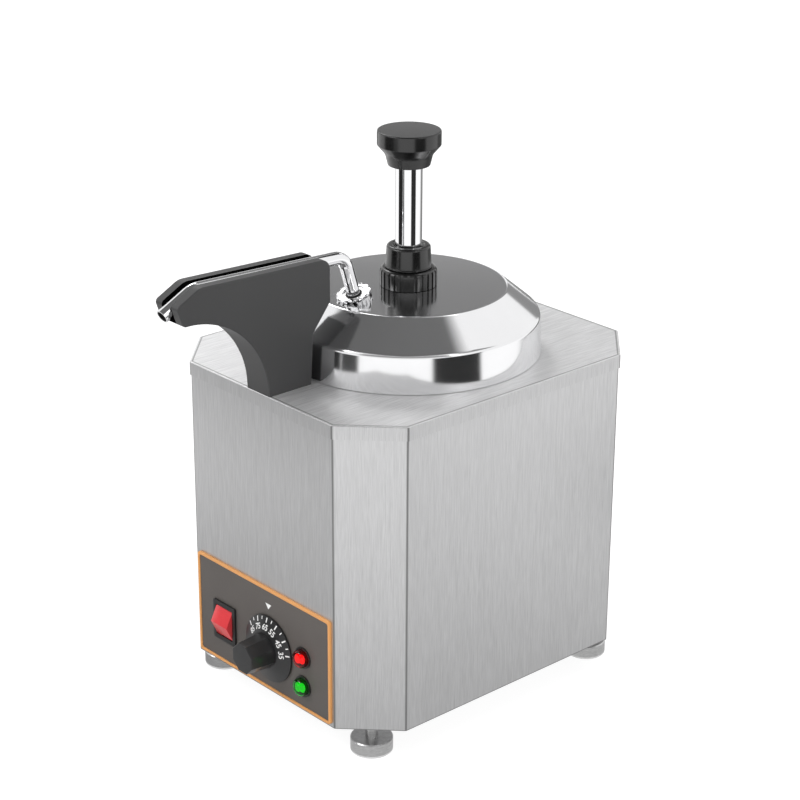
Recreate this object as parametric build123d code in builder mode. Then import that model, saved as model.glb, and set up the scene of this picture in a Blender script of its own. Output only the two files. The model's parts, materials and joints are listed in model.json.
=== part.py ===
from build123d import *

import math
import os

os.makedirs("parts", exist_ok=True)

# A countertop warmer for hot fudge: an eight-sided steel cabinet on four feet, a heated pot under a
# domed lid, a hand pump through the lid, and a spout that runs in a heated housing at the front.
# Millimetres. +Z is up, the front and its control panel face -Y, z = 0 is the bench under the feet,
# and x = y = 0 is the axis of the pot, the lid and the pump.

# Clearances
seam = 0.1  # between pieces that are slipped together and then stay
clear = 0.3  # between pieces that move past each other
running = 0.05  # radial play of a shaft or a thread in its hole

# Cabinet
cabinet_width = 248.0
cabinet_depth = 300.0
cabinet_height = 250.0
corner_leg = 39.2
fold_radius = 3.0
cabinet_base = 25.5
sheet = 1.2
lip_wall = 1.0
lip_height = 10.8
lip_edge_radius = 0.8
flange_width = 13.0
vent_slot_length = 46.0
vent_slot_width = 4.0
vent_slot_pitch = 14.0
vent_slot_count = 5

cabinet_top = cabinet_base + cabinet_height
plate_underside = cabinet_top - sheet
body_inset = lip_wall + seam
front_face = cabinet_depth / 2 - body_inset
floor_top = cabinet_base + 2 * sheet

# Screws that hold the base plate to the return flange of the cabinet
base_screw_radius = 2.0
base_screw_head_radius = 3.8
base_screw_head_height = 2.0
base_screw_tail = 3.0
base_screw_spread_x = 55.0
base_screw_spread_y = 62.0

# Feet
foot_inset = 31.75
foot_disc_radius = 16.5
foot_disc_height = 11.7
foot_edge = 0.8
foot_stem_radius = 5.0
foot_nut_height = 8.0
foot_nut_across = 17.0
foot_stem_tail = 5.0

foot_x = cabinet_width / 2 - foot_inset
foot_y = cabinet_depth / 2 - foot_inset

# Pot
pot_radius = 95.0
pot_wall = 1.0
pot_floor = 105.0
pot_corner_radius = 14.0
pot_rim_rise = 6.0
pot_bead_radius = 1.6
pot_flange_width = 5.0

pot_rim = cabinet_top + pot_rim_rise

# Lid
lid_skirt_radius = 104.8
lid_shoulder_radius = 103.0
lid_shoulder_height = 29.5
lid_top_radius = 76.8
lid_height = 51.5
lid_wall = 1.2
lid_shoulder_edge = 5.0
lid_top_edge = 4.0

lid_bottom = cabinet_top + clear
lid_top = cabinet_top + lid_height
lid_underside = lid_top - lid_wall

# Pump barrel, its seal and its clamp nut
barrel_bore = 13.0
barrel_wall = 2.0
barrel_flange_radius = 20.5
barrel_flange_height = 4.0
neck_radius = 16.0
neck_bore = 14.0
seal_thickness = 1.5
nut_radius = 22.3
nut_height = 14.2
nut_rib_count = 26
nut_groove_width = 2.0
nut_groove_depth = 0.9
nut_side_height = 11.0
nut_top_radius = 19.3

barrel_radius = barrel_bore + barrel_wall
nut_bottom = lid_top + clear
nut_top = nut_bottom + nut_height

# Guide collar on top of the barrel
collar_foot_radius = 17.9
collar_top_radius = 17.0
collar_height = 17.7
collar_edge_radius = 2.2
collar_lip_radius = 18.4
collar_lip_height = 1.2
collar_spigot_depth = 12.0
collar_mouth = 2.2

collar_bottom = nut_top + clear
collar_top = collar_bottom + collar_height

# Plunger
rod_radius = 10.4
rod_wall = 1.2
rod_showing = 63.0
stroke = 55.0
knob_neck_radius = 16.2
knob_waist_radius = 17.9
knob_waist_height = 7.0
knob_flare_radius = 19.7
knob_flare_height = 10.5
knob_disc_radius = 24.6
knob_disc_height = 11.2
knob_height = 27.4
knob_edge_radius = 1.0
knob_socket_depth = 15.0
piston_length = 16.0
piston_play = 0.08
seal_ring_width = 2.4
seal_ring_depth = 2.0
seal_ring_spacing = 7.0
spigot_length = 10.0

knob_bottom = collar_top + rod_showing
knob_top = knob_bottom + knob_height

# Return spring under the piston
spring_wire = 1.6
spring_turns = 9
spring_radius = 9.6
spring_spare = 2.6

spring_solid_length = spring_wire * spring_turns + spring_spare

# Foot valve at the bottom of the barrel
valve_bottom = 114.0
valve_radius = 18.0
valve_floor = 5.0
valve_chamber_radius = 6.5
valve_chamber_height = 14.0
valve_socket_depth = 8.0
inlet_radius = 4.0
inlet_ball_radius = 5.0
inlet_ball_lift = 3.0
ball_seat_gap = 0.2
pin_radius = 1.0
pin_gap = 0.5
port_radius = 3.5
port_boss_radius = 7.5
port_boss_reach = 28.0
port_socket_depth = 8.0
port_drop = 7.0

valve_seat = valve_bottom + valve_floor
barrel_bottom = valve_seat + valve_chamber_height
port_height = barrel_bottom - port_drop
piston_bottom = barrel_bottom + spring_solid_length + stroke
piston_top = piston_bottom + piston_length
inlet_ball_height = valve_seat + math.sqrt(inlet_ball_radius**2 - inlet_radius**2) + ball_seat_gap
pin_height = inlet_ball_height + inlet_ball_radius + inlet_ball_lift + pin_gap + pin_radius

# Discharge pipe and spout tube
tube_radius = 5.25
tube_wall = 0.9
pipe_bend = 15.0
outlet_y = -56.0
riser_lean = 17.5
riser_start = 5.0
spout_height = 87.8
riser_bend = 12.5
spout_bend = 20.0
spout_bend_y = -207.0
spout_rise = 5.6
spout_tip_y = -233.8
spout_tip_drop = 13.8

spout_z = cabinet_top + spout_height
spout_bend_z = spout_z + spout_rise

# Outlet ferrule, its ball and its nut
ferrule_radius = 8.2
neck_top = 0.8
neck_recess = 1.4
neck_foot = -2.7
riser_socket_depth = 5.8
chamber_drop = 3.6
ferrule_flange_radius = 12.5
ferrule_flange_height = 4.0
ferrule_sleeve = 26.0
ferrule_web = 2.0
ball_chamber_radius = 5.6
ball_chamber_height = 8.0
ball_port_radius = 3.2
outlet_ball_radius = 4.0
outlet_ball_lift = 1.0
outlet_port_length = 9.6
outlet_port_width = 3.0
outlet_nut_radius = 13.2
outlet_nut_rim = 1.5
outlet_nut_hub_radius = 9.6
outlet_nut_thickness = 2.6
outlet_nut_scallops = 11
scallop_radius = 2.6
scallop_rise = 1.4
outlet_nut_groove_radius = 9.3
outlet_nut_edge = 0.4
wedge_foot_radius = 15.0
wedge_top_radius = 12.4
wedge_height = 8.5
wedge_front = 6.0
wedge_flutes = 24
wedge_flute_radius = 1.2

lean = math.radians(riser_lean)
lean_height = lid_top + riser_start
socket_floor = neck_top - riser_socket_depth
chamber_top = lid_top - chamber_drop
chamber_floor = chamber_top - ball_chamber_height
pipe_stop = chamber_floor - ferrule_web
outlet_ball_height = (
    chamber_floor + math.sqrt(outlet_ball_radius**2 - ball_port_radius**2) + ball_seat_gap
)

# Spout housing: outline in the plane x = 0, heights above the top plate
housing_width = 27.0
housing_front = 149.5
housing_rear = 109.0
arch_radius = 72.5
crest_height = 98.9
crest_radius = 14.0
nose_top_height = 88.1
nose_top_radius = 3.5
nose_lean = 19.0
nose_radius = 4.0
nose_flat = 0.2
rear_y = -90.0
rear_top_height = 94.6
rear_top_radius = 8.2
rear_step_height = 61.0
rear_knee_y = -107.0
rear_knee_height = 39.5
housing_edge = 1.0
slot_width = 11.2
channel_width = 12.0
channel_wall = 4.0
channel_back_wall = 5.0
channel_roof = 62.0
channel_shelf = 76.0
channel_step_y = -112.0
channel_front_y = -165.0
heater_radius = 4.0
heater_height = 74.0
heater_rear_y = -104.0
heater_front_y = -190.0
housing_screw_radius = 2.0
housing_screw_head_radius = 3.6
housing_screw_head_height = 2.4
housing_screw_depth = 10.0
housing_screw_x = 9.75
housing_screw_end = 8.5

arch_top = cabinet_top + arch_radius
tube_gap = clear + running

# Control panel
panel_width = 163.4
panel_height = 88.0
panel_bottom = 27.7
panel_thickness = 1.2
panel_corner_radius = 3.0
border_width = 2.5
border_height = 2.1
control_height = 64.5

panel_face = front_face + panel_thickness
panel_middle = panel_bottom + panel_height / 2

# Rocker switch
switch_x = -47.5
bezel_width = 27.5
bezel_height = 33.8
bezel_thickness = 1.8
bezel_corner_radius = 1.5
switch_body_width = 24.4
switch_body_height = 30.4
switch_body_depth = 24.0
switch_cavity_depth = 12.0
rocker_width = 20.0
rocker_height = 24.8
rocker_ridge = 9.6
rocker_corner = 3.6
rocker_play = 0.4
rocker_pivot_depth = 4.2
rocker_pin_radius = 1.5
rocker_pin_reach = 1.2
terminal_width = 4.8
terminal_thickness = 0.8
terminal_length = 8.0
terminal_spacing = 9.0

bezel_face = panel_face + bezel_thickness
rocker_pivot = bezel_face - rocker_pivot_depth
rocker_swing = math.hypot(rocker_corner, rocker_height / 2)

# Indicator lamps
lamp_x = 49.5
red_lamp_height = 72.8
green_lamp_height = 48.2
lamp_flange_radius = 8.7
lamp_flange_thickness = 1.2
lamp_barrel_radius = 6.0
lamp_barrel_length = 24.0
lamp_nut_across = 15.0
lamp_nut_height = 4.0
lens_radius = 7.3
lens_rise = 5.4
lens_edge_radius = 3.2
lamp_tab_spacing = 6.0

lamp_face = panel_face + lamp_flange_thickness

# Thermostat and its dial
dial_x = 8.5
thermostat_width = 40.0
thermostat_depth = 28.0
bushing_radius = 4.8
shaft_radius = 3.0
shaft_tail = 10.0
shaft_in_grip = 14.0
dial_radius = 27.7
dial_gap = 0.4
dial_rim = 1.3
dial_rise = 4.0
dial_hub_radius = 15.0
grip_length = 21.8
grip_foot_across = 26.5
grip_end_across = 23.4
grip_edge_radius = 0.8
thermostat_screw_spacing = 28.0
thermostat_screw_radius = 2.0
thermostat_screw_head_radius = 3.4
thermostat_screw_depth = 6.0

shell_inside = front_face - sheet
dial_face = panel_face + dial_gap + dial_rim + dial_rise
grip_end = dial_face + grip_length

# Band heater, thermostat bulb and insulation round the pot
band_thickness = 3.0
band_bottom = 118.0
band_height = 70.0
band_gap = 14.0
band_lug_reach = 9.0
band_lug_height = 24.0
band_lug_thickness = 2.0
band_post_radius = 2.5
band_post_length = 8.0
band_post_angle = 18.0
band_bolt_radius = 2.0
band_bolt_tail = 3.0
band_nut_across = 7.0
band_nut_height = 3.2
bulb_radius = 3.0
bulb_length = 66.0
bulb_below_plate = 13.5
bulb_bottom = cabinet_top - bulb_below_plate - bulb_length
bulb_angle = 100.0
bulb_clip_height = 8.0
bulb_clip_thickness = 0.8
capillary_radius = 0.9
capillary_drop = 3.5
capillary_out = 6.0
capillary_low = 80.0
capillary_turn_y = -70.0
capillary_entry_y = -100.0
capillary_entry_x = 8.0
capillary_entry_height = 10.0
capillary_bends = (2.5, 2.5, 12.0, 12.0, 12.0)
jacket_shell_gap = 8.7
jacket_below_pot = 7.0
jacket_below_plate = 13.5
jacket_gap_angle = 62.0
cutout_radius = 12.0
cutout_height = 9.0
cutout_ear = 17.0
cutout_ear_width = 8.0
cutout_ear_thickness = 1.5

band_inner = pot_radius + seam
band_outer = band_inner + band_thickness
jacket_radius = cabinet_width / 2 - body_inset - sheet - jacket_shell_gap
jacket_bottom = pot_floor - jacket_below_pot
jacket_top = cabinet_top - jacket_below_plate

# Terminal block and cable gland at the back
block_from_side = 66.0
block_from_back = 54.0
block_length = 44.0
block_width = 20.0
block_step = 9.0
block_ridge_width = 10.0
block_height = 17.0
block_pole_count = 4
block_pole_pitch = 10.0
block_wire_hole = 1.6
block_screw_radius = 1.8
block_screw_height = 1.5
gland_from_side = 62.0
gland_height = 62.0
gland_thread_radius = 8.0
gland_bore = 4.0
gland_hex_across = 19.0
gland_hex_height = 5.0
gland_dome_radius = 8.4
gland_dome_height = 9.0
gland_dome_edge = 2.0
gland_inner_length = 9.0
gland_nut_across = 22.0
gland_nut_height = 5.0

block_x = block_from_side - cabinet_width / 2
block_y = cabinet_depth / 2 - block_from_back
gland_x = cabinet_width / 2 - gland_from_side


def cabinet_outline(inset, height):
    """The cabinet's eight-sided outline, moved in by inset, at a height."""
    with BuildSketch(Plane.XY.offset(height)) as outline:
        Rectangle(cabinet_width - 2 * inset, cabinet_depth - 2 * inset)
        chamfer(outline.vertices(), corner_leg - inset * (2 - math.sqrt(2)))
        if inset < fold_radius:
            fillet(outline.vertices(), fold_radius - inset)
    return outline.sketch


def disc(radius, height, x=0.0, y=0.0):
    """A level round face."""
    with BuildSketch(Plane((x, y, height))) as face:
        Circle(radius)
    return face.sketch


def washer(outer, inner, height, x=0.0, y=0.0):
    """A level ring-shaped face."""
    with BuildSketch(Plane((x, y, height))) as face:
        Circle(outer)
        Circle(inner, mode=Mode.SUBTRACT)
    return face.sketch


def nut_face(across, bore, plane):
    """A hexagon across its flats, with a hole."""
    with BuildSketch(plane) as face:
        RegularPolygon(across / 2, 6, major_radius=False)
        Circle(bore, mode=Mode.SUBTRACT)
    return face.sketch


def front_plane(distance, x=0.0, z=0.0):
    """An upright plane that faces the user, at a distance in front of the pump's axis."""
    return Plane(origin=(x, -distance, z), x_dir=(1, 0, 0), z_dir=(0, -1, 0))


def front_disc(radius, distance, x, z):
    """An upright round face that faces the user."""
    with BuildSketch(front_plane(distance, x, z)) as face:
        Circle(radius)
    return face.sketch


def leaned_plane(rise):
    """A plane square to the spout's riser, at a distance along it from the outlet's axis."""
    return Plane(
        origin=(0, outlet_y - rise * math.sin(lean), lean_height + rise * math.cos(lean)),
        x_dir=(1, 0, 0),
        z_dir=(0, -math.sin(lean), math.cos(lean)),
    )


def leaned_disc(radius, rise):
    """A round face square to the spout's riser."""
    with BuildSketch(leaned_plane(rise)) as face:
        Circle(radius)
    return face.sketch


def ray_height(start_y, start_z, lean, y):
    """Height at y of a line that leans forward from its start."""
    return start_z + (start_y - y) / math.tan(math.radians(lean))


lamp_places = [(lamp_x, red_lamp_height), (lamp_x, green_lamp_height)]
thermostat_screw_places = [
    (dial_x + side * thermostat_screw_spacing / 2, control_height) for side in (-1, 1)
]
foot_places = {
    "front_left": (-foot_x, -foot_y),
    "front_right": (foot_x, -foot_y),
    "rear_left": (-foot_x, foot_y),
    "rear_right": (foot_x, foot_y),
}
base_screw_inset = body_inset + sheet + (flange_width - sheet) / 2
base_screw_places = [
    (side * base_screw_spread_x, end * (cabinet_depth / 2 - base_screw_inset))
    for side in (-1, 1)
    for end in (-1, 1)
] + [
    (side * (cabinet_width / 2 - base_screw_inset), end * base_screw_spread_y)
    for side in (-1, 1)
    for end in (-1, 1)
]
housing_screw_places = [
    (side * housing_screw_x, -y)
    for side in (-1, 1)
    for y in (housing_rear + housing_screw_end, housing_front - housing_screw_end)
]


def control_holes(distance, screw_hole_radius):
    """The openings for the switch, the lamps, the thermostat's bushing and its two screws."""
    with BuildSketch(front_plane(distance)) as holes:
        with Locations((switch_x, control_height)):
            Rectangle(switch_body_width + 2 * seam, switch_body_height + 2 * seam)
        with Locations(*lamp_places):
            Circle(lamp_barrel_radius + seam)
        with Locations((dial_x, control_height)):
            Circle(bushing_radius + seam)
        with Locations(*thermostat_screw_places):
            Circle(screw_hole_radius)
    return holes.sketch


# Cabinet body: an eight-sided sheet wrap with a return flange at the bottom
with BuildPart() as cabinet_shell:
    extrude(cabinet_outline(body_inset, cabinet_base), amount=plate_underside - cabinet_base)
    extrude(
        cabinet_outline(body_inset + sheet, cabinet_base + sheet),
        amount=cabinet_height,
        mode=Mode.SUBTRACT,
    )
    extrude(
        cabinet_outline(body_inset + flange_width, cabinet_base),
        amount=sheet,
        mode=Mode.SUBTRACT,
    )
    with Locations(*[(x, y, cabinet_base) for x, y in base_screw_places]):
        Cylinder(base_screw_radius + seam, 4 * sheet, mode=Mode.SUBTRACT)
    with Locations(*[(x, y, cabinet_base) for x, y in foot_places.values()]):
        Cylinder(foot_stem_radius + clear, 4 * sheet, mode=Mode.SUBTRACT)
    extrude(
        control_holes(front_face, thermostat_screw_radius + seam),
        amount=2 * sheet,
        both=True,
        mode=Mode.SUBTRACT,
    )
    with BuildSketch(front_plane(-front_face, gland_x, gland_height)):
        Circle(gland_thread_radius + seam)
    extrude(amount=2 * sheet, both=True, mode=Mode.SUBTRACT)

# Top plate with its folded lip
with BuildPart() as top_plate:
    extrude(cabinet_outline(0, cabinet_top - lip_height), amount=lip_height)
    fillet(top_plate.faces().sort_by(Axis.Z)[-1].edges(), lip_edge_radius)
    extrude(
        cabinet_outline(lip_wall, cabinet_top - lip_height),
        amount=lip_height - sheet,
        mode=Mode.SUBTRACT,
    )
    extrude(
        disc(pot_radius + clear, plate_underside),
        amount=2 * sheet,
        both=True,
        mode=Mode.SUBTRACT,
    )
    with BuildSketch(Plane((0, -(housing_front + housing_rear) / 2, plate_underside))):
        Rectangle(channel_width, housing_front - housing_rear - 2 * channel_wall)
    extrude(amount=2 * sheet, both=True, mode=Mode.SUBTRACT)
    with Locations(*[(x, y, plate_underside) for x, y in housing_screw_places]):
        Cylinder(housing_screw_radius + seam, 4 * sheet, mode=Mode.SUBTRACT)

# Base plate, with slots that let air in under the heater
with BuildPart() as base_plate:
    extrude(
        cabinet_outline(body_inset + sheet + seam, cabinet_base + sheet),
        amount=sheet,
    )
    with BuildSketch(Plane.XY.offset(cabinet_base + sheet)):
        with GridLocations(0, vent_slot_pitch, 1, vent_slot_count):
            SlotOverall(vent_slot_length, vent_slot_width)
    extrude(amount=sheet, mode=Mode.SUBTRACT)
    with Locations(*[(x, y, floor_top) for x, y in foot_places.values()]):
        Cylinder(foot_stem_radius + clear, 4 * sheet, mode=Mode.SUBTRACT)
    with Locations(*[(x, y, floor_top) for x, y in base_screw_places]):
        Cylinder(base_screw_radius + seam, 4 * sheet, mode=Mode.SUBTRACT)

with BuildPart() as base_screws:
    with Locations(*[(x, y, cabinet_base) for x, y in base_screw_places]):
        Cylinder(
            base_screw_head_radius,
            base_screw_head_height,
            align=(Align.CENTER, Align.CENTER, Align.MAX),
        )
        Cylinder(
            base_screw_radius,
            2 * sheet + base_screw_tail,
            align=(Align.CENTER, Align.CENTER, Align.MIN),
        )
    fillet(
        base_screws.faces().filter_by(Plane.XY).group_by(Axis.Z)[0].edges(),
        base_screw_head_height / 2,
    )

# Weld nuts that the feet screw into
with BuildPart() as foot_nuts:
    for nut_x, nut_y in foot_places.values():
        nut_plane = Plane((nut_x, nut_y, floor_top))
        extrude(
            nut_face(foot_nut_across, foot_stem_radius + running, nut_plane),
            amount=foot_nut_height,
        )


def levelling_foot(x, y):
    """A steel disc on a threaded stem."""
    with BuildPart() as foot:
        extrude(disc(foot_disc_radius, 0, x, y), amount=foot_disc_height)
        chamfer(foot.edges(), foot_edge)
        extrude(
            disc(foot_stem_radius, foot_disc_height, x, y),
            amount=floor_top + foot_nut_height + foot_stem_tail - foot_disc_height,
        )
    return foot


feet = {f"foot_{corner}": levelling_foot(x, y) for corner, (x, y) in foot_places.items()}

# Pot: a deep pan whose flange lies on the top plate, with a rolled rim
with BuildPart() as sauce_pot:
    with BuildSketch(Plane.XZ) as pot_profile:
        with BuildLine():
            Polyline(
                (0, pot_floor),
                (pot_radius, pot_floor),
                (pot_radius, pot_rim),
                (pot_radius - pot_wall, pot_rim),
                (pot_radius - pot_wall, pot_floor + pot_wall),
                (0, pot_floor + pot_wall),
                close=True,
            )
        make_face()
        fillet(
            pot_profile.vertices().sort_by_distance((pot_radius, pot_floor))[0],
            pot_corner_radius,
        )
        fillet(
            pot_profile.vertices().sort_by_distance(
                (pot_radius - pot_wall, pot_floor + pot_wall)
            )[0],
            pot_corner_radius - pot_wall,
        )
        with Locations((pot_radius - pot_wall + pot_bead_radius, pot_rim - pot_bead_radius)):
            Circle(pot_bead_radius)
        with Locations((pot_radius - pot_wall / 2, cabinet_top)):
            Rectangle(pot_flange_width, pot_wall, align=(Align.MIN, Align.MIN))
    revolve(axis=Axis.Z)

# Lid: a drawn shell with an upright skirt, a cone and a flat top
with BuildPart() as lid:
    with BuildSketch(Plane.XZ):
        with BuildLine():
            Polyline(
                (0, lid_bottom),
                (lid_skirt_radius, lid_bottom),
                (lid_shoulder_radius, cabinet_top + lid_shoulder_height),
                (lid_top_radius, lid_top),
                (0, lid_top),
                close=True,
            )
        make_face()
    revolve(axis=Axis.Z)
    fillet(lid.edges().filter_by(GeomType.CIRCLE).sort_by(Axis.Z)[-1], lid_top_edge)
    fillet(lid.edges().filter_by(GeomType.CIRCLE).sort_by(Axis.Z)[1], lid_shoulder_edge)
    offset(amount=-lid_wall, openings=lid.faces().sort_by(Axis.Z)[0])
    with Locations((0, 0, lid_top)):
        Cylinder(neck_radius + seam, 4 * lid_wall, mode=Mode.SUBTRACT)
    with Locations((0, outlet_y, lid_top)):
        Cylinder(ferrule_radius + seam, 4 * lid_wall, mode=Mode.SUBTRACT)

# Pump barrel, clamped to the lid by its flange and its threaded neck
barrel_flange_top = lid_underside - seal_thickness
with BuildPart() as pump_barrel:
    extrude(
        washer(barrel_radius, barrel_bore, barrel_bottom),
        amount=barrel_flange_top - barrel_bottom,
    )
    extrude(
        washer(barrel_flange_radius, barrel_bore, barrel_flange_top),
        amount=-barrel_flange_height,
    )
    extrude(
        washer(neck_radius, neck_bore, barrel_flange_top),
        amount=nut_top - barrel_flange_top,
    )

with BuildPart() as pump_seal:
    extrude(
        washer(barrel_flange_radius, neck_radius, barrel_flange_top),
        amount=seal_thickness,
    )

with BuildPart() as clamp_nut:
    with BuildSketch(Plane.XZ):
        with BuildLine():
            nut_side = Line((nut_radius, nut_bottom), (nut_radius, nut_bottom + nut_side_height))
            TangentArc(nut_side @ 1, (nut_top_radius, nut_top), tangent=nut_side % 1)
            Polyline(
                (nut_top_radius, nut_top),
                (neck_radius + running, nut_top),
                (neck_radius + running, nut_bottom),
                (nut_radius, nut_bottom),
            )
        make_face()
    revolve(axis=Axis.Z)
    with BuildSketch(Plane.XY.offset(nut_bottom)):
        with PolarLocations(nut_radius, nut_rib_count):
            Rectangle(2 * nut_groove_depth, nut_groove_width)
    extrude(amount=nut_height, mode=Mode.SUBTRACT)

# Guide collar: its spigot screws into the neck, and its bore guides the rod
with BuildPart() as guide_collar:
    with BuildSketch(Plane.XZ) as collar_profile:
        with BuildLine():
            Polyline(
                (0, collar_bottom - collar_spigot_depth),
                (neck_bore, collar_bottom - collar_spigot_depth),
                (neck_bore, nut_top),
                (neck_radius, nut_top),
                (neck_radius, collar_bottom),
                (collar_lip_radius, collar_bottom),
                (collar_lip_radius, collar_bottom + collar_lip_height),
                (collar_foot_radius, collar_bottom + collar_lip_height),
                (collar_top_radius, collar_top),
                (0, collar_top),
                close=True,
            )
        make_face()
        fillet(
            collar_profile.vertices().sort_by_distance((collar_top_radius, collar_top))[0],
            collar_edge_radius,
        )
    revolve(axis=Axis.Z)
    with Locations((0, 0, collar_bottom)):
        Cylinder(rod_radius + running, 2 * collar_height + collar_spigot_depth, mode=Mode.SUBTRACT)
    chamfer(
        guide_collar.faces().sort_by(Axis.Z)[-1].edges().sort_by(SortBy.RADIUS)[0],
        collar_mouth,
    )

# Foot valve: inlet, ball seat, ball chamber, socket for the barrel and side port
with BuildPart() as foot_valve:
    extrude(
        disc(valve_radius, valve_bottom),
        amount=barrel_bottom + valve_socket_depth - valve_bottom,
    )
    chamfer(foot_valve.faces().sort_by(Axis.Z)[0].edges(), valve_floor / 2)
    extrude(
        front_disc(port_boss_radius, 0, 0, port_height),
        amount=port_boss_reach,
    )
    extrude(
        disc(barrel_radius, barrel_bottom),
        amount=valve_socket_depth,
        mode=Mode.SUBTRACT,
    )
    extrude(disc(inlet_radius, valve_bottom), amount=valve_floor, mode=Mode.SUBTRACT)
    extrude(
        disc(valve_chamber_radius, valve_seat),
        amount=valve_chamber_height,
        mode=Mode.SUBTRACT,
    )
    extrude(
        front_disc(port_radius, 0, 0, port_height),
        amount=port_boss_reach,
        mode=Mode.SUBTRACT,
    )
    extrude(
        front_disc(tube_radius, port_boss_reach, 0, port_height),
        amount=-port_socket_depth,
        mode=Mode.SUBTRACT,
    )
    with Locations((0, 0, pin_height)):
        Cylinder(pin_radius, 2 * valve_radius, rotation=(0, 90, 0), mode=Mode.SUBTRACT)

with BuildPart() as ball_stop_pin:
    with Locations((0, 0, pin_height)):
        Cylinder(pin_radius, 2 * valve_radius - 2 * pin_radius, rotation=(0, 90, 0))

with BuildPart() as inlet_ball:
    with Locations((0, 0, inlet_ball_height)):
        Sphere(inlet_ball_radius)

# Plunger: knob, rod, piston and two seal rings
with BuildPart() as knob:
    with BuildSketch(Plane.XZ) as knob_profile:
        with BuildLine():
            Polyline(
                (knob_waist_radius, knob_bottom + knob_waist_height),
                (knob_neck_radius, knob_bottom),
                (0, knob_bottom),
                (0, knob_top),
                (knob_disc_radius, knob_top),
                (knob_disc_radius, knob_top - knob_disc_height),
                (knob_flare_radius, knob_bottom + knob_flare_height),
            )
            TangentArc(
                (knob_waist_radius, knob_bottom + knob_waist_height),
                (knob_flare_radius, knob_bottom + knob_flare_height),
                tangent=(knob_waist_radius - knob_neck_radius, knob_waist_height),
            )
        make_face()
        for corner in (
            (knob_neck_radius, knob_bottom),
            (knob_disc_radius, knob_top),
            (knob_disc_radius, knob_top - knob_disc_height),
        ):
            fillet(knob_profile.vertices().sort_by_distance(corner)[0], knob_edge_radius)
    revolve(axis=Axis.Z)
    extrude(disc(rod_radius, knob_bottom), amount=knob_socket_depth, mode=Mode.SUBTRACT)

rod_bottom = piston_top - spigot_length
with BuildPart() as plunger_rod:
    extrude(
        washer(rod_radius, rod_radius - rod_wall, rod_bottom),
        amount=knob_bottom + knob_socket_depth - rod_bottom,
    )

seal_ring_heights = [
    piston_bottom + (piston_length - spigot_length) / 2 + n * seal_ring_spacing for n in (0, 1)
]
piston_radius = barrel_bore - piston_play
with BuildPart() as piston:
    extrude(disc(piston_radius, piston_bottom), amount=piston_length)
    extrude(
        washer(rod_radius, rod_radius - rod_wall, rod_bottom),
        amount=spigot_length,
        mode=Mode.SUBTRACT,
    )
    for ring_height in seal_ring_heights:
        extrude(
            washer(piston_radius, piston_radius - seal_ring_depth, ring_height),
            amount=seal_ring_width,
            mode=Mode.SUBTRACT,
        )

with BuildPart() as piston_seals:
    for ring_height in seal_ring_heights:
        extrude(
            washer(barrel_bore - running, piston_radius - seal_ring_depth, ring_height),
            amount=seal_ring_width,
        )

# Return spring: it pushes the piston back up
spring_rise = piston_bottom - barrel_bottom - spring_wire
with BuildPart() as return_spring:
    with BuildLine():
        coil = Helix(
            pitch=spring_rise / spring_turns,
            height=spring_rise,
            radius=spring_radius,
            center=(0, 0, barrel_bottom + spring_wire / 2),
        )
    with BuildSketch(Plane(origin=coil @ 0, z_dir=coil % 0)):
        Circle(spring_wire / 2)
    sweep()

# Discharge pipe, from the foot valve's side port up to the outlet in the lid
with BuildPart() as discharge_pipe:
    with BuildLine():
        pipe_path = FilletPolyline(
            (0, port_socket_depth - port_boss_reach, port_height),
            (0, outlet_y, port_height),
            (0, outlet_y, pipe_stop),
            radius=pipe_bend,
        )
    with BuildSketch(Plane(origin=pipe_path @ 0, z_dir=pipe_path % 0)):
        Circle(tube_radius)
        Circle(tube_radius - tube_wall, mode=Mode.SUBTRACT)
    sweep()

# Outlet ferrule: it joins the pipe to the spout through the lid, holds the outlet ball
# and ends in a threaded neck that leans with the spout
ferrule_flange_top = lid_underside - seal_thickness
with BuildPart() as outlet_ferrule:
    extrude(
        disc(ferrule_radius, pipe_stop - ferrule_sleeve, 0, outlet_y),
        amount=lean_height - pipe_stop + ferrule_sleeve,
    )
    extrude(
        leaned_disc(ferrule_flange_radius, neck_foot),
        amount=ferrule_flange_radius,
        mode=Mode.SUBTRACT,
    )
    extrude(leaned_disc(ferrule_radius, neck_foot), amount=neck_top - neck_recess - neck_foot)
    extrude(
        disc(ferrule_flange_radius, ferrule_flange_top, 0, outlet_y),
        amount=-ferrule_flange_height,
    )
    extrude(
        disc(tube_radius, pipe_stop, 0, outlet_y),
        amount=-ferrule_sleeve,
        mode=Mode.SUBTRACT,
    )
    extrude(
        disc(ball_port_radius, pipe_stop, 0, outlet_y),
        amount=ferrule_web,
        mode=Mode.SUBTRACT,
    )
    extrude(
        disc(ball_chamber_radius, chamber_floor, 0, outlet_y),
        amount=ball_chamber_height,
        mode=Mode.SUBTRACT,
    )
    with BuildSketch(Plane((0, outlet_y, chamber_top))):
        SlotOverall(outlet_port_length, outlet_port_width)
    extrude(amount=lid_top - chamber_top, mode=Mode.SUBTRACT)
    extrude(
        leaned_disc(tube_radius + seam, neck_top),
        amount=-riser_socket_depth,
        mode=Mode.SUBTRACT,
    )

with BuildPart() as outlet_seal:
    extrude(
        washer(ferrule_flange_radius, ferrule_radius, ferrule_flange_top, 0, outlet_y),
        amount=seal_thickness,
    )

with BuildPart() as outlet_ball:
    with Locations((0, outlet_y, outlet_ball_height)):
        Sphere(outlet_ball_radius)

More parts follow.
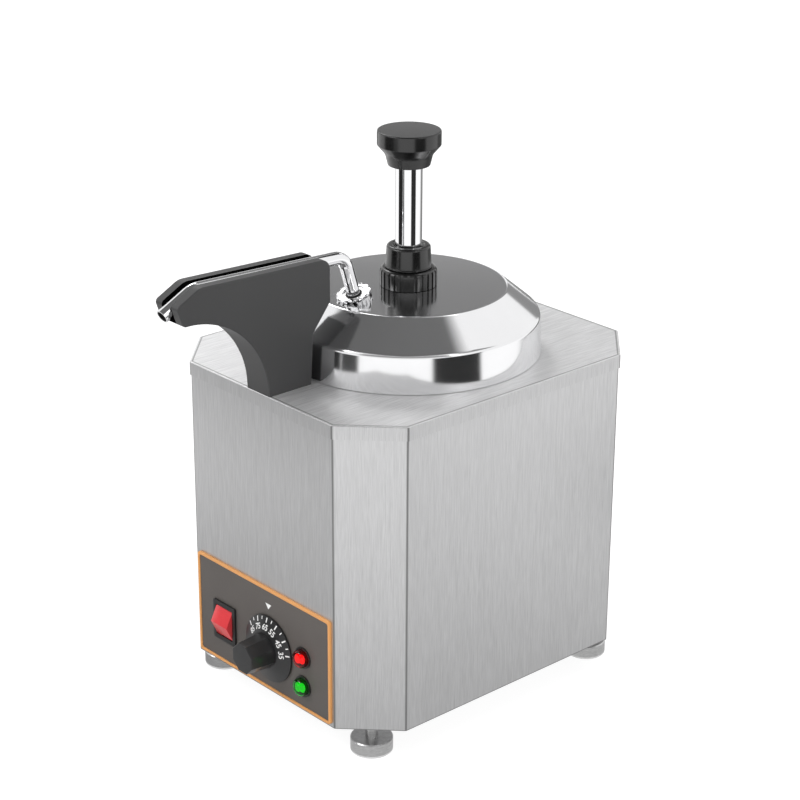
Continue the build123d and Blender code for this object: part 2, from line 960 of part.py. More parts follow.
# Outlet wedge: a fluted foot, open at the front, that fills the space under the leaning nut
nut_rim_foot = neck_top - outlet_nut_rim
nut_hub_foot = neck_top - outlet_nut_thickness
with BuildPart() as outlet_wedge:
    with Locations((0, outlet_y, lid_top)):
        Cone(
            wedge_foot_radius,
            wedge_top_radius,
            wedge_height,
            align=(Align.CENTER, Align.CENTER, Align.MIN),
        )
    with BuildSketch(Plane((0, outlet_y, lid_top))):
        with PolarLocations(wedge_foot_radius, wedge_flutes):
            Circle(wedge_flute_radius)
    extrude(amount=wedge_height, mode=Mode.SUBTRACT)
    extrude(
        disc(ferrule_radius + seam, lid_top, 0, outlet_y),
        amount=wedge_height,
        mode=Mode.SUBTRACT,
    )
    for radius, rise in (
        (ferrule_radius + seam, neck_foot - seam),
        (outlet_nut_hub_radius + clear, nut_hub_foot - clear),
        (2 * wedge_foot_radius, nut_rim_foot - clear),
    ):
        extrude(leaned_disc(radius, rise), amount=2 * wedge_height, mode=Mode.SUBTRACT)
    with Locations((0, outlet_y - wedge_front, lid_top)):
        Box(
            2 * wedge_foot_radius,
            wedge_foot_radius,
            2 * wedge_height,
            align=(Align.CENTER, Align.MAX, Align.CENTER),
            mode=Mode.SUBTRACT,
        )

with BuildPart() as outlet_nut:
    extrude(leaned_disc(outlet_nut_radius, neck_top), amount=-outlet_nut_rim)
    extrude(leaned_disc(outlet_nut_hub_radius, neck_top), amount=-outlet_nut_thickness)
    with BuildSketch(leaned_plane(neck_top)):
        with PolarLocations(outlet_nut_radius + scallop_rise, outlet_nut_scallops):
            Circle(scallop_radius)
    extrude(amount=-outlet_nut_rim, mode=Mode.SUBTRACT)
    chamfer(outlet_nut.faces().sort_by(Axis.Z)[-1].outer_wire().edges(), outlet_nut_edge)
    extrude(
        leaned_disc(ferrule_radius + running, neck_top),
        amount=-outlet_nut_thickness,
        mode=Mode.SUBTRACT,
    )
    extrude(
        leaned_disc(outlet_nut_groove_radius, neck_top),
        amount=-neck_recess,
        mode=Mode.SUBTRACT,
    )

# Spout tube: it rises out of the lid, leans forward, runs along the housing and dips at its end
spout_corner_y = outlet_y - (spout_z - lean_height) * math.tan(lean)
with BuildPart() as spout_tube:
    with BuildLine():
        tube_path = FilletPolyline(
            tuple(leaned_plane(socket_floor).origin),
            (0, spout_corner_y, spout_z),
            (0, spout_bend_y, spout_bend_z),
            (0, spout_tip_y, spout_bend_z - spout_tip_drop),
            radius=(riser_bend, spout_bend),
        )
    with BuildSketch(Plane(origin=tube_path @ 0, z_dir=tube_path % 0)):
        Circle(tube_radius)
        Circle(tube_radius - tube_wall, mode=Mode.SUBTRACT)
    sweep()

# Spout housing: a cast block that arches forward over the cup, with a slot for the tube
arch_end_y = -(housing_front + arch_radius)
nose_tip_y = arch_end_y - nose_flat - nose_radius * math.tan(math.radians(90 - nose_lean) / 2)
nose_top_y = nose_tip_y - (nose_top_height - arch_radius) * math.tan(math.radians(nose_lean))
dip = math.atan2(spout_tip_drop, spout_bend_y - spout_tip_y)
crest_y = nose_top_y + (crest_height - nose_top_height) / math.tan(dip)
slot_drop = tube_radius + tube_gap
rise = math.atan2(spout_rise, spout_corner_y - spout_bend_y)
slot_corner_drop = slot_drop / math.cos((dip + rise) / 2)
slot_bend_y = spout_bend_y + slot_corner_drop * math.sin((dip - rise) / 2)
slot_bend_z = spout_bend_z - slot_corner_drop * math.cos((dip - rise) / 2)
slot_rear_y = rear_y + slot_width
slot_front_y = nose_tip_y - housing_width
with BuildPart() as spout_housing:
    with BuildSketch(Plane.YZ) as housing_outline:
        with BuildLine():
            arch = CenterArc((arch_end_y, cabinet_top), arch_radius, 0, 90)
            Polyline(
                arch @ 1,
                (nose_tip_y, arch_top),
                (nose_top_y, cabinet_top + nose_top_height),
                (crest_y, cabinet_top + crest_height),
                (rear_y, cabinet_top + rear_top_height),
                (rear_y, cabinet_top + rear_step_height),
                (rear_knee_y, cabinet_top + rear_knee_height),
                (-housing_rear, cabinet_top),
                arch @ 0,
            )
        make_face()
        for corner, radius in (
            ((nose_tip_y, arch_top), nose_radius),
            ((nose_top_y, cabinet_top + nose_top_height), nose_top_radius),
            ((crest_y, cabinet_top + crest_height), crest_radius),
            ((rear_y, cabinet_top + rear_top_height), rear_top_radius),
        ):
            fillet(housing_outline.vertices().sort_by_distance(corner)[0], radius)
    extrude(amount=housing_width / 2, both=True)
    housing_sides = spout_housing.faces().sort_by(Axis.X)
    side_edges = housing_sides[0].edges() + housing_sides[-1].edges()
    fillet([edge for edge in side_edges if edge.center().Z > cabinet_top + seam], housing_edge)
    # Slot for the tube, open at the top and at both ends
    with BuildSketch(Plane.YZ):
        with BuildLine():
            slot_floor = FilletPolyline(
                (slot_rear_y, slot_bend_z - (slot_rear_y - slot_bend_y) * math.tan(rise)),
                (slot_bend_y, slot_bend_z),
                (slot_front_y, slot_bend_z + (slot_front_y - slot_bend_y) * math.tan(dip)),
                radius=spout_bend - slot_drop,
            )
            Polyline(
                slot_floor @ 1,
                (slot_front_y, cabinet_top + crest_height + slot_width),
                (slot_rear_y, cabinet_top + crest_height + slot_width),
                slot_floor @ 0,
            )
        make_face()
    extrude(amount=slot_width / 2, both=True, mode=Mode.SUBTRACT)
    # Channel for the heater's leads, up from the cabinet
    with BuildSketch(Plane.YZ):
        with BuildLine():
            Polyline(
                (-(housing_rear + channel_wall), cabinet_top),
                (channel_front_y, cabinet_top),
                (channel_front_y, cabinet_top + channel_roof),
                (channel_step_y, cabinet_top + channel_roof),
                (channel_step_y, cabinet_top + channel_shelf),
                (rear_y - channel_back_wall, cabinet_top + channel_shelf),
                (rear_y - channel_back_wall, cabinet_top + rear_step_height),
                (rear_knee_y - channel_back_wall, cabinet_top + rear_knee_height),
                close=True,
            )
        make_face()
        with Locations((arch_end_y, cabinet_top)):
            Circle(arch_radius + channel_wall, mode=Mode.SUBTRACT)
    extrude(amount=channel_width / 2, both=True, mode=Mode.SUBTRACT)
    # Bore for the cartridge heater
    extrude(
        front_disc(heater_radius + seam, -heater_rear_y, 0, cabinet_top + heater_height),
        amount=heater_rear_y - heater_front_y,
        mode=Mode.SUBTRACT,
    )
    with Locations(*[(x, y, cabinet_top) for x, y in housing_screw_places]):
        Cylinder(
            housing_screw_radius + running,
            housing_screw_depth + clear,
            align=(Align.CENTER, Align.CENTER, Align.MIN),
            mode=Mode.SUBTRACT,
        )

with BuildPart() as spout_heater:
    extrude(
        front_disc(heater_radius, -heater_rear_y, 0, cabinet_top + heater_height),
        amount=heater_rear_y - heater_front_y,
    )

with BuildPart() as housing_screws:
    with Locations(*[(x, y, plate_underside) for x, y in housing_screw_places]):
        Cylinder(
            housing_screw_head_radius,
            housing_screw_head_height,
            align=(Align.CENTER, Align.CENTER, Align.MAX),
        )
        Cylinder(
            housing_screw_radius,
            sheet + housing_screw_depth,
            align=(Align.CENTER, Align.CENTER, Align.MIN),
        )

# Control panel and its raised border
with BuildPart() as control_panel:
    with BuildSketch(front_plane(front_face, 0, panel_middle)):
        RectangleRounded(
            panel_width - 2 * (border_width + seam),
            panel_height - 2 * (border_width + seam),
            panel_corner_radius - border_width / 2,
        )
    extrude(amount=panel_thickness)
    extrude(
        control_holes(front_face, thermostat_screw_head_radius + seam),
        amount=panel_thickness,
        mode=Mode.SUBTRACT,
    )

with BuildPart() as panel_border:
    with BuildSketch(front_plane(front_face, 0, panel_middle)):
        RectangleRounded(panel_width, panel_height, panel_corner_radius)
        RectangleRounded(
            panel_width - 2 * border_width,
            panel_height - 2 * border_width,
            panel_corner_radius - border_width / 2,
            mode=Mode.SUBTRACT,
        )
    extrude(amount=border_height)
    fillet(panel_border.faces().sort_by(Axis.Y)[0].edges(), border_width / 3)

# Rocker switch: its body, three tabs and the rocker
with BuildPart() as switch_body:
    with BuildSketch(front_plane(panel_face, switch_x, control_height)):
        RectangleRounded(bezel_width, bezel_height, bezel_corner_radius)
    extrude(amount=bezel_thickness)
    with BuildSketch(front_plane(panel_face, switch_x, control_height)):
        Rectangle(switch_body_width, switch_body_height)
    extrude(amount=-switch_body_depth)
    with BuildSketch(front_plane(bezel_face, switch_x, control_height)):
        Rectangle(rocker_width + 2 * rocker_play, 2 * (rocker_swing + clear))
    extrude(amount=-switch_cavity_depth, mode=Mode.SUBTRACT)
    with Locations((switch_x, -rocker_pivot, control_height)):
        Cylinder(
            rocker_pin_radius + running,
            rocker_width + 2 * (rocker_pin_reach + clear),
            rotation=(0, 90, 0),
            mode=Mode.SUBTRACT,
        )

with BuildPart() as switch_tabs:
    for step in (-1, 0, 1):
        tab_height = control_height + step * terminal_spacing
        with BuildSketch(front_plane(panel_face - switch_body_depth, switch_x, tab_height)):
            Rectangle(terminal_width, terminal_thickness)
        extrude(amount=-terminal_length)

rocker_plane = Plane(
    origin=(switch_x, -rocker_pivot, control_height),
    x_dir=(0, -1, 0),
    z_dir=(-1, 0, 0),
)
with BuildPart() as rocker:
    with BuildSketch(rocker_plane):
        Circle(rocker_swing)
        Rectangle(2 * rocker_corner, 2 * rocker_swing, mode=Mode.INTERSECT)
        with BuildLine():
            Polyline(
                (rocker_corner, rocker_height / 2),
                (rocker_ridge, 0),
                (rocker_corner, -rocker_height / 2),
                close=True,
            )
        make_face()
    extrude(amount=rocker_width / 2, both=True)
    with Locations((switch_x, -rocker_pivot, control_height)):
        Cylinder(
            rocker_pin_radius,
            rocker_width + 2 * rocker_pin_reach,
            rotation=(0, 90, 0),
        )

# Indicator lamps: bodies, nuts behind the cabinet's front, and lenses
with BuildPart() as lamp_bodies:
    for x, z in lamp_places:
        extrude(front_disc(lamp_flange_radius, panel_face, x, z), amount=lamp_flange_thickness)
        extrude(front_disc(lamp_barrel_radius, panel_face, x, z), amount=-lamp_barrel_length)
        for side in (-1, 1):
            tab_x = x + side * lamp_tab_spacing / 2
            with BuildSketch(front_plane(panel_face - lamp_barrel_length, tab_x, z)):
                Rectangle(terminal_thickness, terminal_width)
            extrude(amount=-terminal_length)

with BuildPart() as lamp_nuts:
    for x, z in lamp_places:
        extrude(
            nut_face(lamp_nut_across, lamp_barrel_radius + running, front_plane(shell_inside, x, z)),
            amount=-lamp_nut_height,
        )


def lamp_lens(height):
    """A round-edged lens on a lamp's flange."""
    with BuildPart() as lens:
        extrude(front_disc(lens_radius, lamp_face, lamp_x, height), amount=lens_rise)
        fillet(lens.faces().sort_by(Axis.Y)[0].edges(), lens_edge_radius)
    return lens


red_lens = lamp_lens(red_lamp_height)
green_lens = lamp_lens(green_lamp_height)

# Thermostat behind the panel, its two screws and its shaft
shaft_back = shell_inside - shaft_tail
with BuildPart() as thermostat_body:
    with BuildSketch(front_plane(shell_inside, dial_x, control_height)):
        Rectangle(thermostat_width, thermostat_width)
    extrude(amount=-thermostat_depth)
    extrude(
        front_disc(bushing_radius, shell_inside, dial_x, control_height),
        amount=panel_face - seam - shell_inside,
    )
    extrude(
        front_disc(shaft_radius + running, shaft_back - clear, dial_x, control_height),
        amount=panel_face + clear - shaft_back,
        mode=Mode.SUBTRACT,
    )
    for x, z in thermostat_screw_places:
        extrude(
            front_disc(thermostat_screw_radius + running, shell_inside, x, z),
            amount=-thermostat_screw_depth - clear,
            mode=Mode.SUBTRACT,
        )

with BuildPart() as thermostat_screws:
    for x, z in thermostat_screw_places:
        extrude(
            front_disc(thermostat_screw_head_radius, front_face, x, z),
            amount=panel_thickness - seam,
        )
        extrude(
            front_disc(thermostat_screw_radius, front_face, x, z),
            amount=-sheet - thermostat_screw_depth,
        )

with BuildPart() as thermostat_shaft:
    extrude(
        front_disc(shaft_radius, shaft_back, dial_x, control_height),
        amount=dial_face + shaft_in_grip - shaft_back,
    )

# Dial: a low cone that carries the scale, and an eight-sided grip
dial_back = panel_face + dial_gap
dial_axis = Axis((dial_x, 0, control_height), (0, 1, 0))
with BuildPart() as dial_skirt:
    with BuildSketch(Plane.XY.offset(control_height)):
        with BuildLine():
            Polyline(
                (dial_x + shaft_radius, -dial_back),
                (dial_x + dial_radius, -dial_back),
                (dial_x + dial_radius, -dial_back - dial_rim),
                (dial_x + dial_hub_radius, -dial_face),
                (dial_x + shaft_radius, -dial_face),
                close=True,
            )
        make_face()
    revolve(axis=dial_axis)

with BuildPart() as dial_grip:
    with BuildSketch(front_plane(dial_face, dial_x, control_height)):
        RegularPolygon(grip_foot_across / 2, 8, major_radius=False, rotation=22.5)
    with BuildSketch(front_plane(grip_end, dial_x, control_height)):
        RegularPolygon(grip_end_across / 2, 8, major_radius=False, rotation=22.5)
    loft()
    fillet(dial_grip.faces().sort_by(Axis.Y)[0].edges(), grip_edge_radius)
    extrude(
        front_disc(shaft_radius, dial_face, dial_x, control_height),
        amount=shaft_in_grip,
        mode=Mode.SUBTRACT,
    )

# Band heater round the pot, with two lugs, a bolt, a nut and two terminal posts
lug_middle = band_bottom + band_height / 2
lug_middle_y = band_outer + band_lug_reach / 2
with BuildPart() as heater_band:
    extrude(washer(band_outer, band_inner, band_bottom), amount=band_height)
    with Locations((0, band_outer, lug_middle)):
        Box(band_gap, 2 * band_outer - band_inner, band_height, mode=Mode.SUBTRACT)
    with Locations(
        *[
            (side * (band_gap + band_lug_thickness) / 2, lug_middle_y - band_thickness / 2, lug_middle)
            for side in (-1, 1)
        ]
    ):
        Box(band_lug_thickness, band_lug_reach, band_lug_height)
    with Locations((0, lug_middle_y, lug_middle)):
        Cylinder(
            band_bolt_radius + seam,
            band_gap + 4 * band_lug_thickness,
            rotation=(0, 90, 0),
            mode=Mode.SUBTRACT,
        )

bolt_end = band_gap / 2 + band_lug_thickness
with BuildPart() as band_bolt:
    with BuildSketch(Plane.YZ.offset(-bolt_end)):
        with Locations((lug_middle_y, lug_middle)):
            Circle(band_bolt_radius)
    extrude(amount=2 * bolt_end + band_nut_height + band_bolt_tail)
    with BuildSketch(Plane.YZ.offset(-bolt_end)):
        with Locations((lug_middle_y, lug_middle)):
            RegularPolygon(band_nut_across / 2, 6, major_radius=False)
    extrude(amount=-band_nut_height)

with BuildPart() as band_nut:
    with BuildSketch(Plane.YZ.offset(bolt_end)):
        with Locations((lug_middle_y, lug_middle)):
            RegularPolygon(band_nut_across / 2, 6, major_radius=False)
            Circle(band_bolt_radius + running, mode=Mode.SUBTRACT)
    extrude(amount=band_nut_height)

with BuildPart() as heater_posts:
    for side in (-1, 1):
        lean = math.radians(90 + side * band_post_angle)
        outward = Vector(math.cos(lean), math.sin(lean), 0)
        with BuildSketch(Plane(outward * band_outer + Vector(0, 0, lug_middle), z_dir=outward)):
            Circle(band_post_radius)
        extrude(amount=band_post_length)

# Thermostat bulb against the pot, its clip, and the capillary to the thermostat
bulb_direction = Vector(math.cos(math.radians(bulb_angle)), math.sin(math.radians(bulb_angle)), 0)
bulb_place = bulb_direction * (pot_radius + seam + bulb_radius)
with BuildPart() as thermostat_bulb:
    extrude(disc(bulb_radius, bulb_bottom, bulb_place.X, bulb_place.Y), amount=bulb_length)
    fillet(thermostat_bulb.edges().sort_by(Axis.Z)[-1], bulb_radius / 2)

with BuildPart() as bulb_clip:
    extrude(
        washer(
            bulb_radius + bulb_clip_thickness,
            bulb_radius,
            bulb_bottom + (bulb_length - bulb_clip_height) / 2,
            bulb_place.X,
            bulb_place.Y,
        ),
        amount=bulb_clip_height,
    )
    extrude(disc(pot_radius, bulb_bottom), amount=bulb_length, mode=Mode.SUBTRACT)

capillary_far = bulb_place + bulb_direction * capillary_out
entry_x = dial_x - capillary_entry_x
entry_z = control_height + capillary_entry_height
with BuildPart() as capillary_tube:
    with BuildLine():
        capillary_path = FilletPolyline(
            (bulb_place.X, bulb_place.Y, bulb_bottom),
            (bulb_place.X, bulb_place.Y, bulb_bottom - capillary_drop),
            (capillary_far.X, capillary_far.Y, bulb_bottom - capillary_drop - capillary_out),
            (capillary_far.X, capillary_far.Y, capillary_low),
            (capillary_far.X, capillary_turn_y, capillary_low),
            (entry_x, capillary_entry_y, entry_z),
            (entry_x, thermostat_depth - shell_inside, entry_z),
            radius=capillary_bends,
        )
    with BuildSketch(Plane(origin=capillary_path @ 0, z_dir=capillary_path % 0)):
        Circle(capillary_radius)
    sweep()

# Insulation round the band heater, open at the back for the lugs, the posts and the bulb
with BuildPart() as insulation_jacket:
    extrude(
        washer(jacket_radius, band_outer + seam, jacket_bottom),
        amount=jacket_top - jacket_bottom,
    )
    with BuildSketch(Plane.XY.offset(jacket_bottom)):
        gap_half = 2 * jacket_radius * math.tan(math.radians(jacket_gap_angle / 2))
        with BuildLine():
            Polyline((0, 0), (gap_half, 2 * jacket_radius), (-gap_half, 2 * jacket_radius), close=True)
        make_face()
    extrude(amount=jacket_top - jacket_bottom, mode=Mode.SUBTRACT)

# Overheat cut-out under the pot
with BuildPart() as overheat_cutout:
    extrude(disc(cutout_radius, pot_floor), amount=-cutout_height)
    with BuildSketch(Plane.XY.offset(pot_floor)):
        SlotOverall(2 * cutout_ear, cutout_ear_width)
    extrude(amount=-cutout_ear_thickness)
    with BuildSketch(Plane.XY.offset(pot_floor - cutout_height)):
        with GridLocations(cutout_radius, 0, 2, 1):
            Rectangle(terminal_thickness, terminal_width)
    extrude(amount=-terminal_length)

# Terminal block on the base plate
pole_x = [block_x + (n - (block_pole_count - 1) / 2) * block_pole_pitch for n in range(block_pole_count)]
with BuildPart() as terminal_block:
    with BuildSketch(Plane((block_x, block_y, floor_top))):
        Rectangle(block_length, block_width)
    extrude(amount=block_step)
    with BuildSketch(Plane((block_x, block_y, floor_top))):
        Rectangle(block_length, block_ridge_width)
    extrude(amount=block_height)
    for x in pole_x:
        with Locations((x, block_y, floor_top + block_step / 2)):
            Cylinder(block_wire_hole, 2 * block_width, rotation=(90, 0, 0), mode=Mode.SUBTRACT)

with BuildPart() as terminal_screws:
    for x in pole_x:
        extrude(disc(block_screw_radius, floor_top + block_height, x, block_y), amount=block_screw_height)

# Cable gland in the back, with its nut inside
with BuildPart() as cable_gland:
    with BuildSketch(front_plane(-front_face, gland_x, gland_height)):
        RegularPolygon(gland_hex_across / 2, 6, major_radius=False)
    extrude(amount=-gland_hex_height)
    extrude(
        front_disc(gland_dome_radius, -front_face - gland_hex_height, gland_x, gland_height),
        amount=-gland_dome_height,
    )
    fillet(
        cable_gland.faces().sort_by(Axis.Y)[-1].edges(),
        gland_dome_edge,
    )
    extrude(
        front_disc(gland_thread_radius, -front_face, gland_x, gland_height),
        amount=sheet + gland_inner_length,
    )
    extrude(
        front_disc(gland_bore, -front_face - gland_hex_height - gland_dome_height, gland_x, gland_height),
        amount=gland_hex_height + gland_dome_height + sheet + gland_inner_length,
        mode=Mode.SUBTRACT,
    )

with BuildPart() as gland_nut:
    extrude(
        nut_face(
            gland_nut_across,
            gland_thread_radius + running,
            front_plane(-shell_inside, gland_x, gland_height),
        ),
        amount=gland_nut_height,
    )

pieces = {
    "cabinet_shell": cabinet_shell,
    "top_plate": top_plate,
    "base_plate": base_plate,
    "base_screws": base_screws,
    "foot_nuts": foot_nuts,
    **feet,
    "sauce_pot": sauce_pot,
    "heater_band": heater_band,
    "band_bolt": band_bolt,
    "band_nut": band_nut,
    "heater_posts": heater_posts,
    "thermostat_bulb": thermostat_bulb,
    "bulb_clip": bulb_clip,
    "capillary_tube": capillary_tube,
    "insulation_jacket": insulation_jacket,
    "overheat_cutout": overheat_cutout,
    "terminal_block": terminal_block,
    "terminal_screws": terminal_screws,
    "cable_gland": cable_gland,
    "gland_nut": gland_nut,
    "control_panel": control_panel,
    "panel_border": panel_border,
    "switch_body": switch_body,
    "switch_tabs": switch_tabs,
    "rocker": rocker,
    "lamp_bodies": lamp_bodies,
    "lamp_nuts": lamp_nuts,
    "red_lens": red_lens,
    "green_lens": green_lens,
    "thermostat_body": thermostat_body,
    "thermostat_screws": thermostat_screws,
    "thermostat_shaft": thermostat_shaft,
    "dial_skirt": dial_skirt,
    "dial_grip": dial_grip,
    "spout_housing": spout_housing,
    "spout_heater": spout_heater,
    "housing_screws": housing_screws,
    "lid": lid,
    "pump_barrel": pump_barrel,
    "pump_seal": pump_seal,
    "clamp_nut": clamp_nut,
    "guide_collar": guide_collar,
    "foot_valve": foot_valve,
    "ball_stop_pin": ball_stop_pin,
    "inlet_ball": inlet_ball,
    "discharge_pipe": discharge_pipe,
    "outlet_ferrule": outlet_ferrule,
    "outlet_seal": outlet_seal,
    "outlet_ball": outlet_ball,
    "outlet_wedge": outlet_wedge,
    "outlet_nut": outlet_nut,
    "spout_tube": spout_tube,
    "knob": knob,
    "plunger_rod": plunger_rod,
    "piston": piston,
    "piston_seals": piston_seals,
    "return_spring": return_spring,
}
for name, piece in pieces.items():
    piece.part.label = name
    export_step(piece.part, f"parts/{name}.step")
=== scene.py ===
import json
import math

import bpy
from mathutils import Matrix, Vector


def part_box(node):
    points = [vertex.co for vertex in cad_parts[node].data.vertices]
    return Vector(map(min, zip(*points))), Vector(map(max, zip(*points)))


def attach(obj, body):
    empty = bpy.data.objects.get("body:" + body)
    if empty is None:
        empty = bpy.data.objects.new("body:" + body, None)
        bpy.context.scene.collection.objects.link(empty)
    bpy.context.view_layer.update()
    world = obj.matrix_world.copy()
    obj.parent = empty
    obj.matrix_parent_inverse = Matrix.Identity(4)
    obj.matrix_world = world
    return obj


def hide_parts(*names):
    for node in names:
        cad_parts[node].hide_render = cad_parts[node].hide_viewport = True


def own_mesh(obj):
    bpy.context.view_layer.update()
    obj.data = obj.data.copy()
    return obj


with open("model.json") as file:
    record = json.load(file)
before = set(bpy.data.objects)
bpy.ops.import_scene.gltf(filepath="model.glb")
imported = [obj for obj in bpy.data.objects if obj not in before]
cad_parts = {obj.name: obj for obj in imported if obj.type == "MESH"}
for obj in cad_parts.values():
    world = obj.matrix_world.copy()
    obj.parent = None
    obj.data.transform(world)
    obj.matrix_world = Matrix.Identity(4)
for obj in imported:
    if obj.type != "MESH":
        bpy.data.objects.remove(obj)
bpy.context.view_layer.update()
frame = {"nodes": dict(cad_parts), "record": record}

scene = bpy.context.scene
nodes = frame["nodes"]
mm = 0.001


class Reading:
    # a number in a finish, so that its maths reads as an expression
    def __init__(self, finish, socket):
        self.finish = finish
        self.socket = socket

    def combine(self, operation, first, second):
        return self.finish.node("ShaderNodeMath", {"operation": operation}, {0: first, 1: second})

    def __add__(self, other):
        return self.combine("ADD", self, other)

    def __radd__(self, other):
        return self.combine("ADD", other, self)

    def __sub__(self, other):
        return self.combine("SUBTRACT", self, other)

    def __rsub__(self, other):
        return self.combine("SUBTRACT", other, self)

    def __mul__(self, other):
        return self.combine("MULTIPLY", self, other)

    def __rmul__(self, other):
        return self.combine("MULTIPLY", other, self)


class Finish:
    # one material, or the world's own shader: node() makes every node in it
    def __init__(self, name, holder=None):
        self.material = holder or bpy.data.materials.new(name)
        self.material.use_nodes = True
        self.tree = self.material.node_tree
        self.tree.nodes.clear()

    def node(self, kind, settings=None, inputs=None, output=0):
        made = self.tree.nodes.new(kind)
        for key, value in (settings or {}).items():
            setattr(made, key, value)
        for key, value in (inputs or {}).items():
            socket = made.inputs[key]
            if isinstance(value, Reading):
                self.tree.links.new(value.socket, socket)
            elif isinstance(value, tuple) and len(value) == 3 and socket.type == "RGBA":
                socket.default_value = (*value, 1)
            else:
                socket.default_value = value
        if made.outputs:
            return Reading(self, made.outputs[output])

    def place(self, scale, move):
        where = self.node("ShaderNodeTexCoord", output="Object")
        return self.node("ShaderNodeMapping", {"vector_type": "POINT"}, {0: where, 1: move, 3: scale})

    def noise(self, scale, detail=2.0, rough=0.5, move=(0, 0, 0)):
        return self.node(
            "ShaderNodeTexNoise",
            None,
            {"Vector": self.place(scale, move), "Scale": 1.0, "Detail": detail, "Roughness": rough},
        )

    def ramp(self, amount, low, high):
        return self.node(
            "ShaderNodeMapRange", {"clamp": True}, {0: amount, 1: low, 2: high, 3: 0.0, 4: 1.0}
        )

    def blend(self, amount, first, second):
        return self.node(
            "ShaderNodeMix", {"data_type": "RGBA"}, {0: amount, 6: first, 7: second}, output=2
        )

    def axes(self):
        # the x, y and z of the place on the piece, in metres
        where = self.node("ShaderNodeTexCoord", output="Object")
        split = self.node("ShaderNodeSeparateXYZ", None, {0: where}).socket.node
        return [Reading(self, part) for part in split.outputs]

    def facing(self):
        # how far the surface faces up, from -1 to 1
        shape = self.node("ShaderNodeNewGeometry", output="Normal")
        return self.node("ShaderNodeSeparateXYZ", None, {0: shape}, output="Z")

    def size(self, amount):
        return self.node("ShaderNodeMath", {"operation": "ABSOLUTE"}, {0: amount})

    def least(self, first, second):
        return self.node("ShaderNodeMath", {"operation": "MINIMUM"}, {0: first, 1: second})

    def most(self, first, second):
        return self.node("ShaderNodeMath", {"operation": "MAXIMUM"}, {0: first, 1: second})

    def root(self, amount):
        return self.node("ShaderNodeMath", {"operation": "SQRT"}, {0: amount})

    def bump(self, height, strength, distance):
        return self.node(
            "ShaderNodeBump", None, {"Strength": strength, "Distance": distance, "Height": height}
        )

    def surface(self, **values):
        names = {
            "colour": "Base Color", "rough": "Roughness", "metal": "Metallic", "normal": "Normal",
            "coat": "Coat Weight", "coatRough": "Coat Roughness", "clear": "Transmission Weight",
            "ior": "IOR", "glow": "Emission Color", "glowStrength": "Emission Strength",
            "specular": "Specular IOR Level",
        }
        shader = self.node("ShaderNodeBsdfPrincipled", None, {names[k]: v for k, v in values.items()})
        self.node("ShaderNodeOutputMaterial", None, {"Surface": shader})
        return self.material


def choose(piece):
    # makes one piece the only selected and active one
    bpy.ops.object.select_all(action="DESELECT")
    piece.select_set(True)
    bpy.context.view_layer.objects.active = piece


def edit(piece, mode="FACE"):
    choose(piece)
    bpy.ops.object.mode_set(mode="EDIT")
    bpy.ops.mesh.select_mode(type=mode)


def settle(piece, smooth=32):
    # applies the piece's place and smooths it between its sharp edges
    choose(piece)
    bpy.ops.object.transform_apply(location=True, rotation=True, scale=True)
    bpy.ops.object.shade_smooth_by_angle(angle=math.radians(smooth))


def wear(piece, finish):
    # gives a piece its finish
    piece.data.materials.clear()
    piece.data.materials.append(finish)


def finished(piece, name, body, slot, finish, replaces=()):
    piece.name = name
    piece.data.name = name
    wear(piece, finish)
    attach(piece, body)
    if replaces:
        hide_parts(*replaces)
    return piece


def modify(piece, kind, **settings):
    # adds a modifier and applies it
    choose(piece)
    made = piece.modifiers.new(kind.lower(), kind)
    for key, value in settings.items():
        setattr(made, key, value)
    bpy.ops.object.modifier_apply(modifier=made.name)


copied = {"within": 1e-6, "flat": 0.5, "segments": 3, "sharp": 28, "smooth": 40}


def roundedCopy(node, name, body, slot, finish, width):
    # a CAD piece whose edges are broken, as a casting's or a moulding's are
    piece = nodes[node].copy()
    piece.data = nodes[node].data.copy()
    piece.parent = None
    scene.collection.objects.link(piece)
    piece.matrix_world = Matrix.Identity(4)
    edit(piece, "VERT")
    bpy.ops.mesh.select_all(action="SELECT")
    bpy.ops.mesh.remove_doubles(threshold=copied["within"])
    bpy.ops.mesh.dissolve_limited(angle_limit=math.radians(copied["flat"]))
    bpy.ops.object.mode_set(mode="OBJECT")
    modify(
        piece, "BEVEL", width=width, segments=copied["segments"], limit_method="ANGLE",
        angle_limit=math.radians(copied["sharp"]), harden_normals=False,
    )
    settle(piece, copied["smooth"])
    return finished(piece, name, body, slot, finish, (node,))


view = {
    "place": (1.1873, -1.0716, 0.8790),
    "azimuth": 48.149,
    "down": 22.106,
    "roll": 0.279,
    "lens": 97.93,
    "sensor": 36,
    "far": 50,
}
azimuth, down, roll = (math.radians(view[k]) for k in ("azimuth", "down", "roll"))
back = Vector((math.sin(azimuth) * math.cos(down), -math.cos(azimuth) * math.cos(down), math.sin(down)))
level = Vector((math.cos(azimuth), math.sin(azimuth), 0))
upright = back.cross(level)
across = math.cos(roll) * level + math.sin(roll) * upright
upward = -math.sin(roll) * level + math.cos(roll) * upright
bpy.ops.object.select_all(action="DESELECT")
bpy.ops.object.camera_add(location=view["place"])
camera = bpy.context.object
camera.matrix_world = Matrix.Translation(view["place"]) @ Matrix((across, upward, back)).transposed().to_4x4()
camera.data.lens = view["lens"]
camera.data.sensor_width = view["sensor"]
camera.data.clip_end = view["far"]
scene.camera = camera
scene.view_settings.view_transform = "Standard"

studio = {"ambient": 0.75, "floor": 0.86, "shadow": 0.30, "plain": 0.8, "radius": 6, "aim": (0, 0, 0.2)}


def whiteWhereSeen(finish):
    # 1 for rays that go straight to the eye, through glass or off metal, 0 for light
    eye, shine, glass = (
        finish.node("ShaderNodeLightPath", output=ray)
        for ray in ("Is Camera Ray", "Is Glossy Ray", "Is Transmission Ray")
    )
    return finish.most(finish.most(eye, shine), glass)


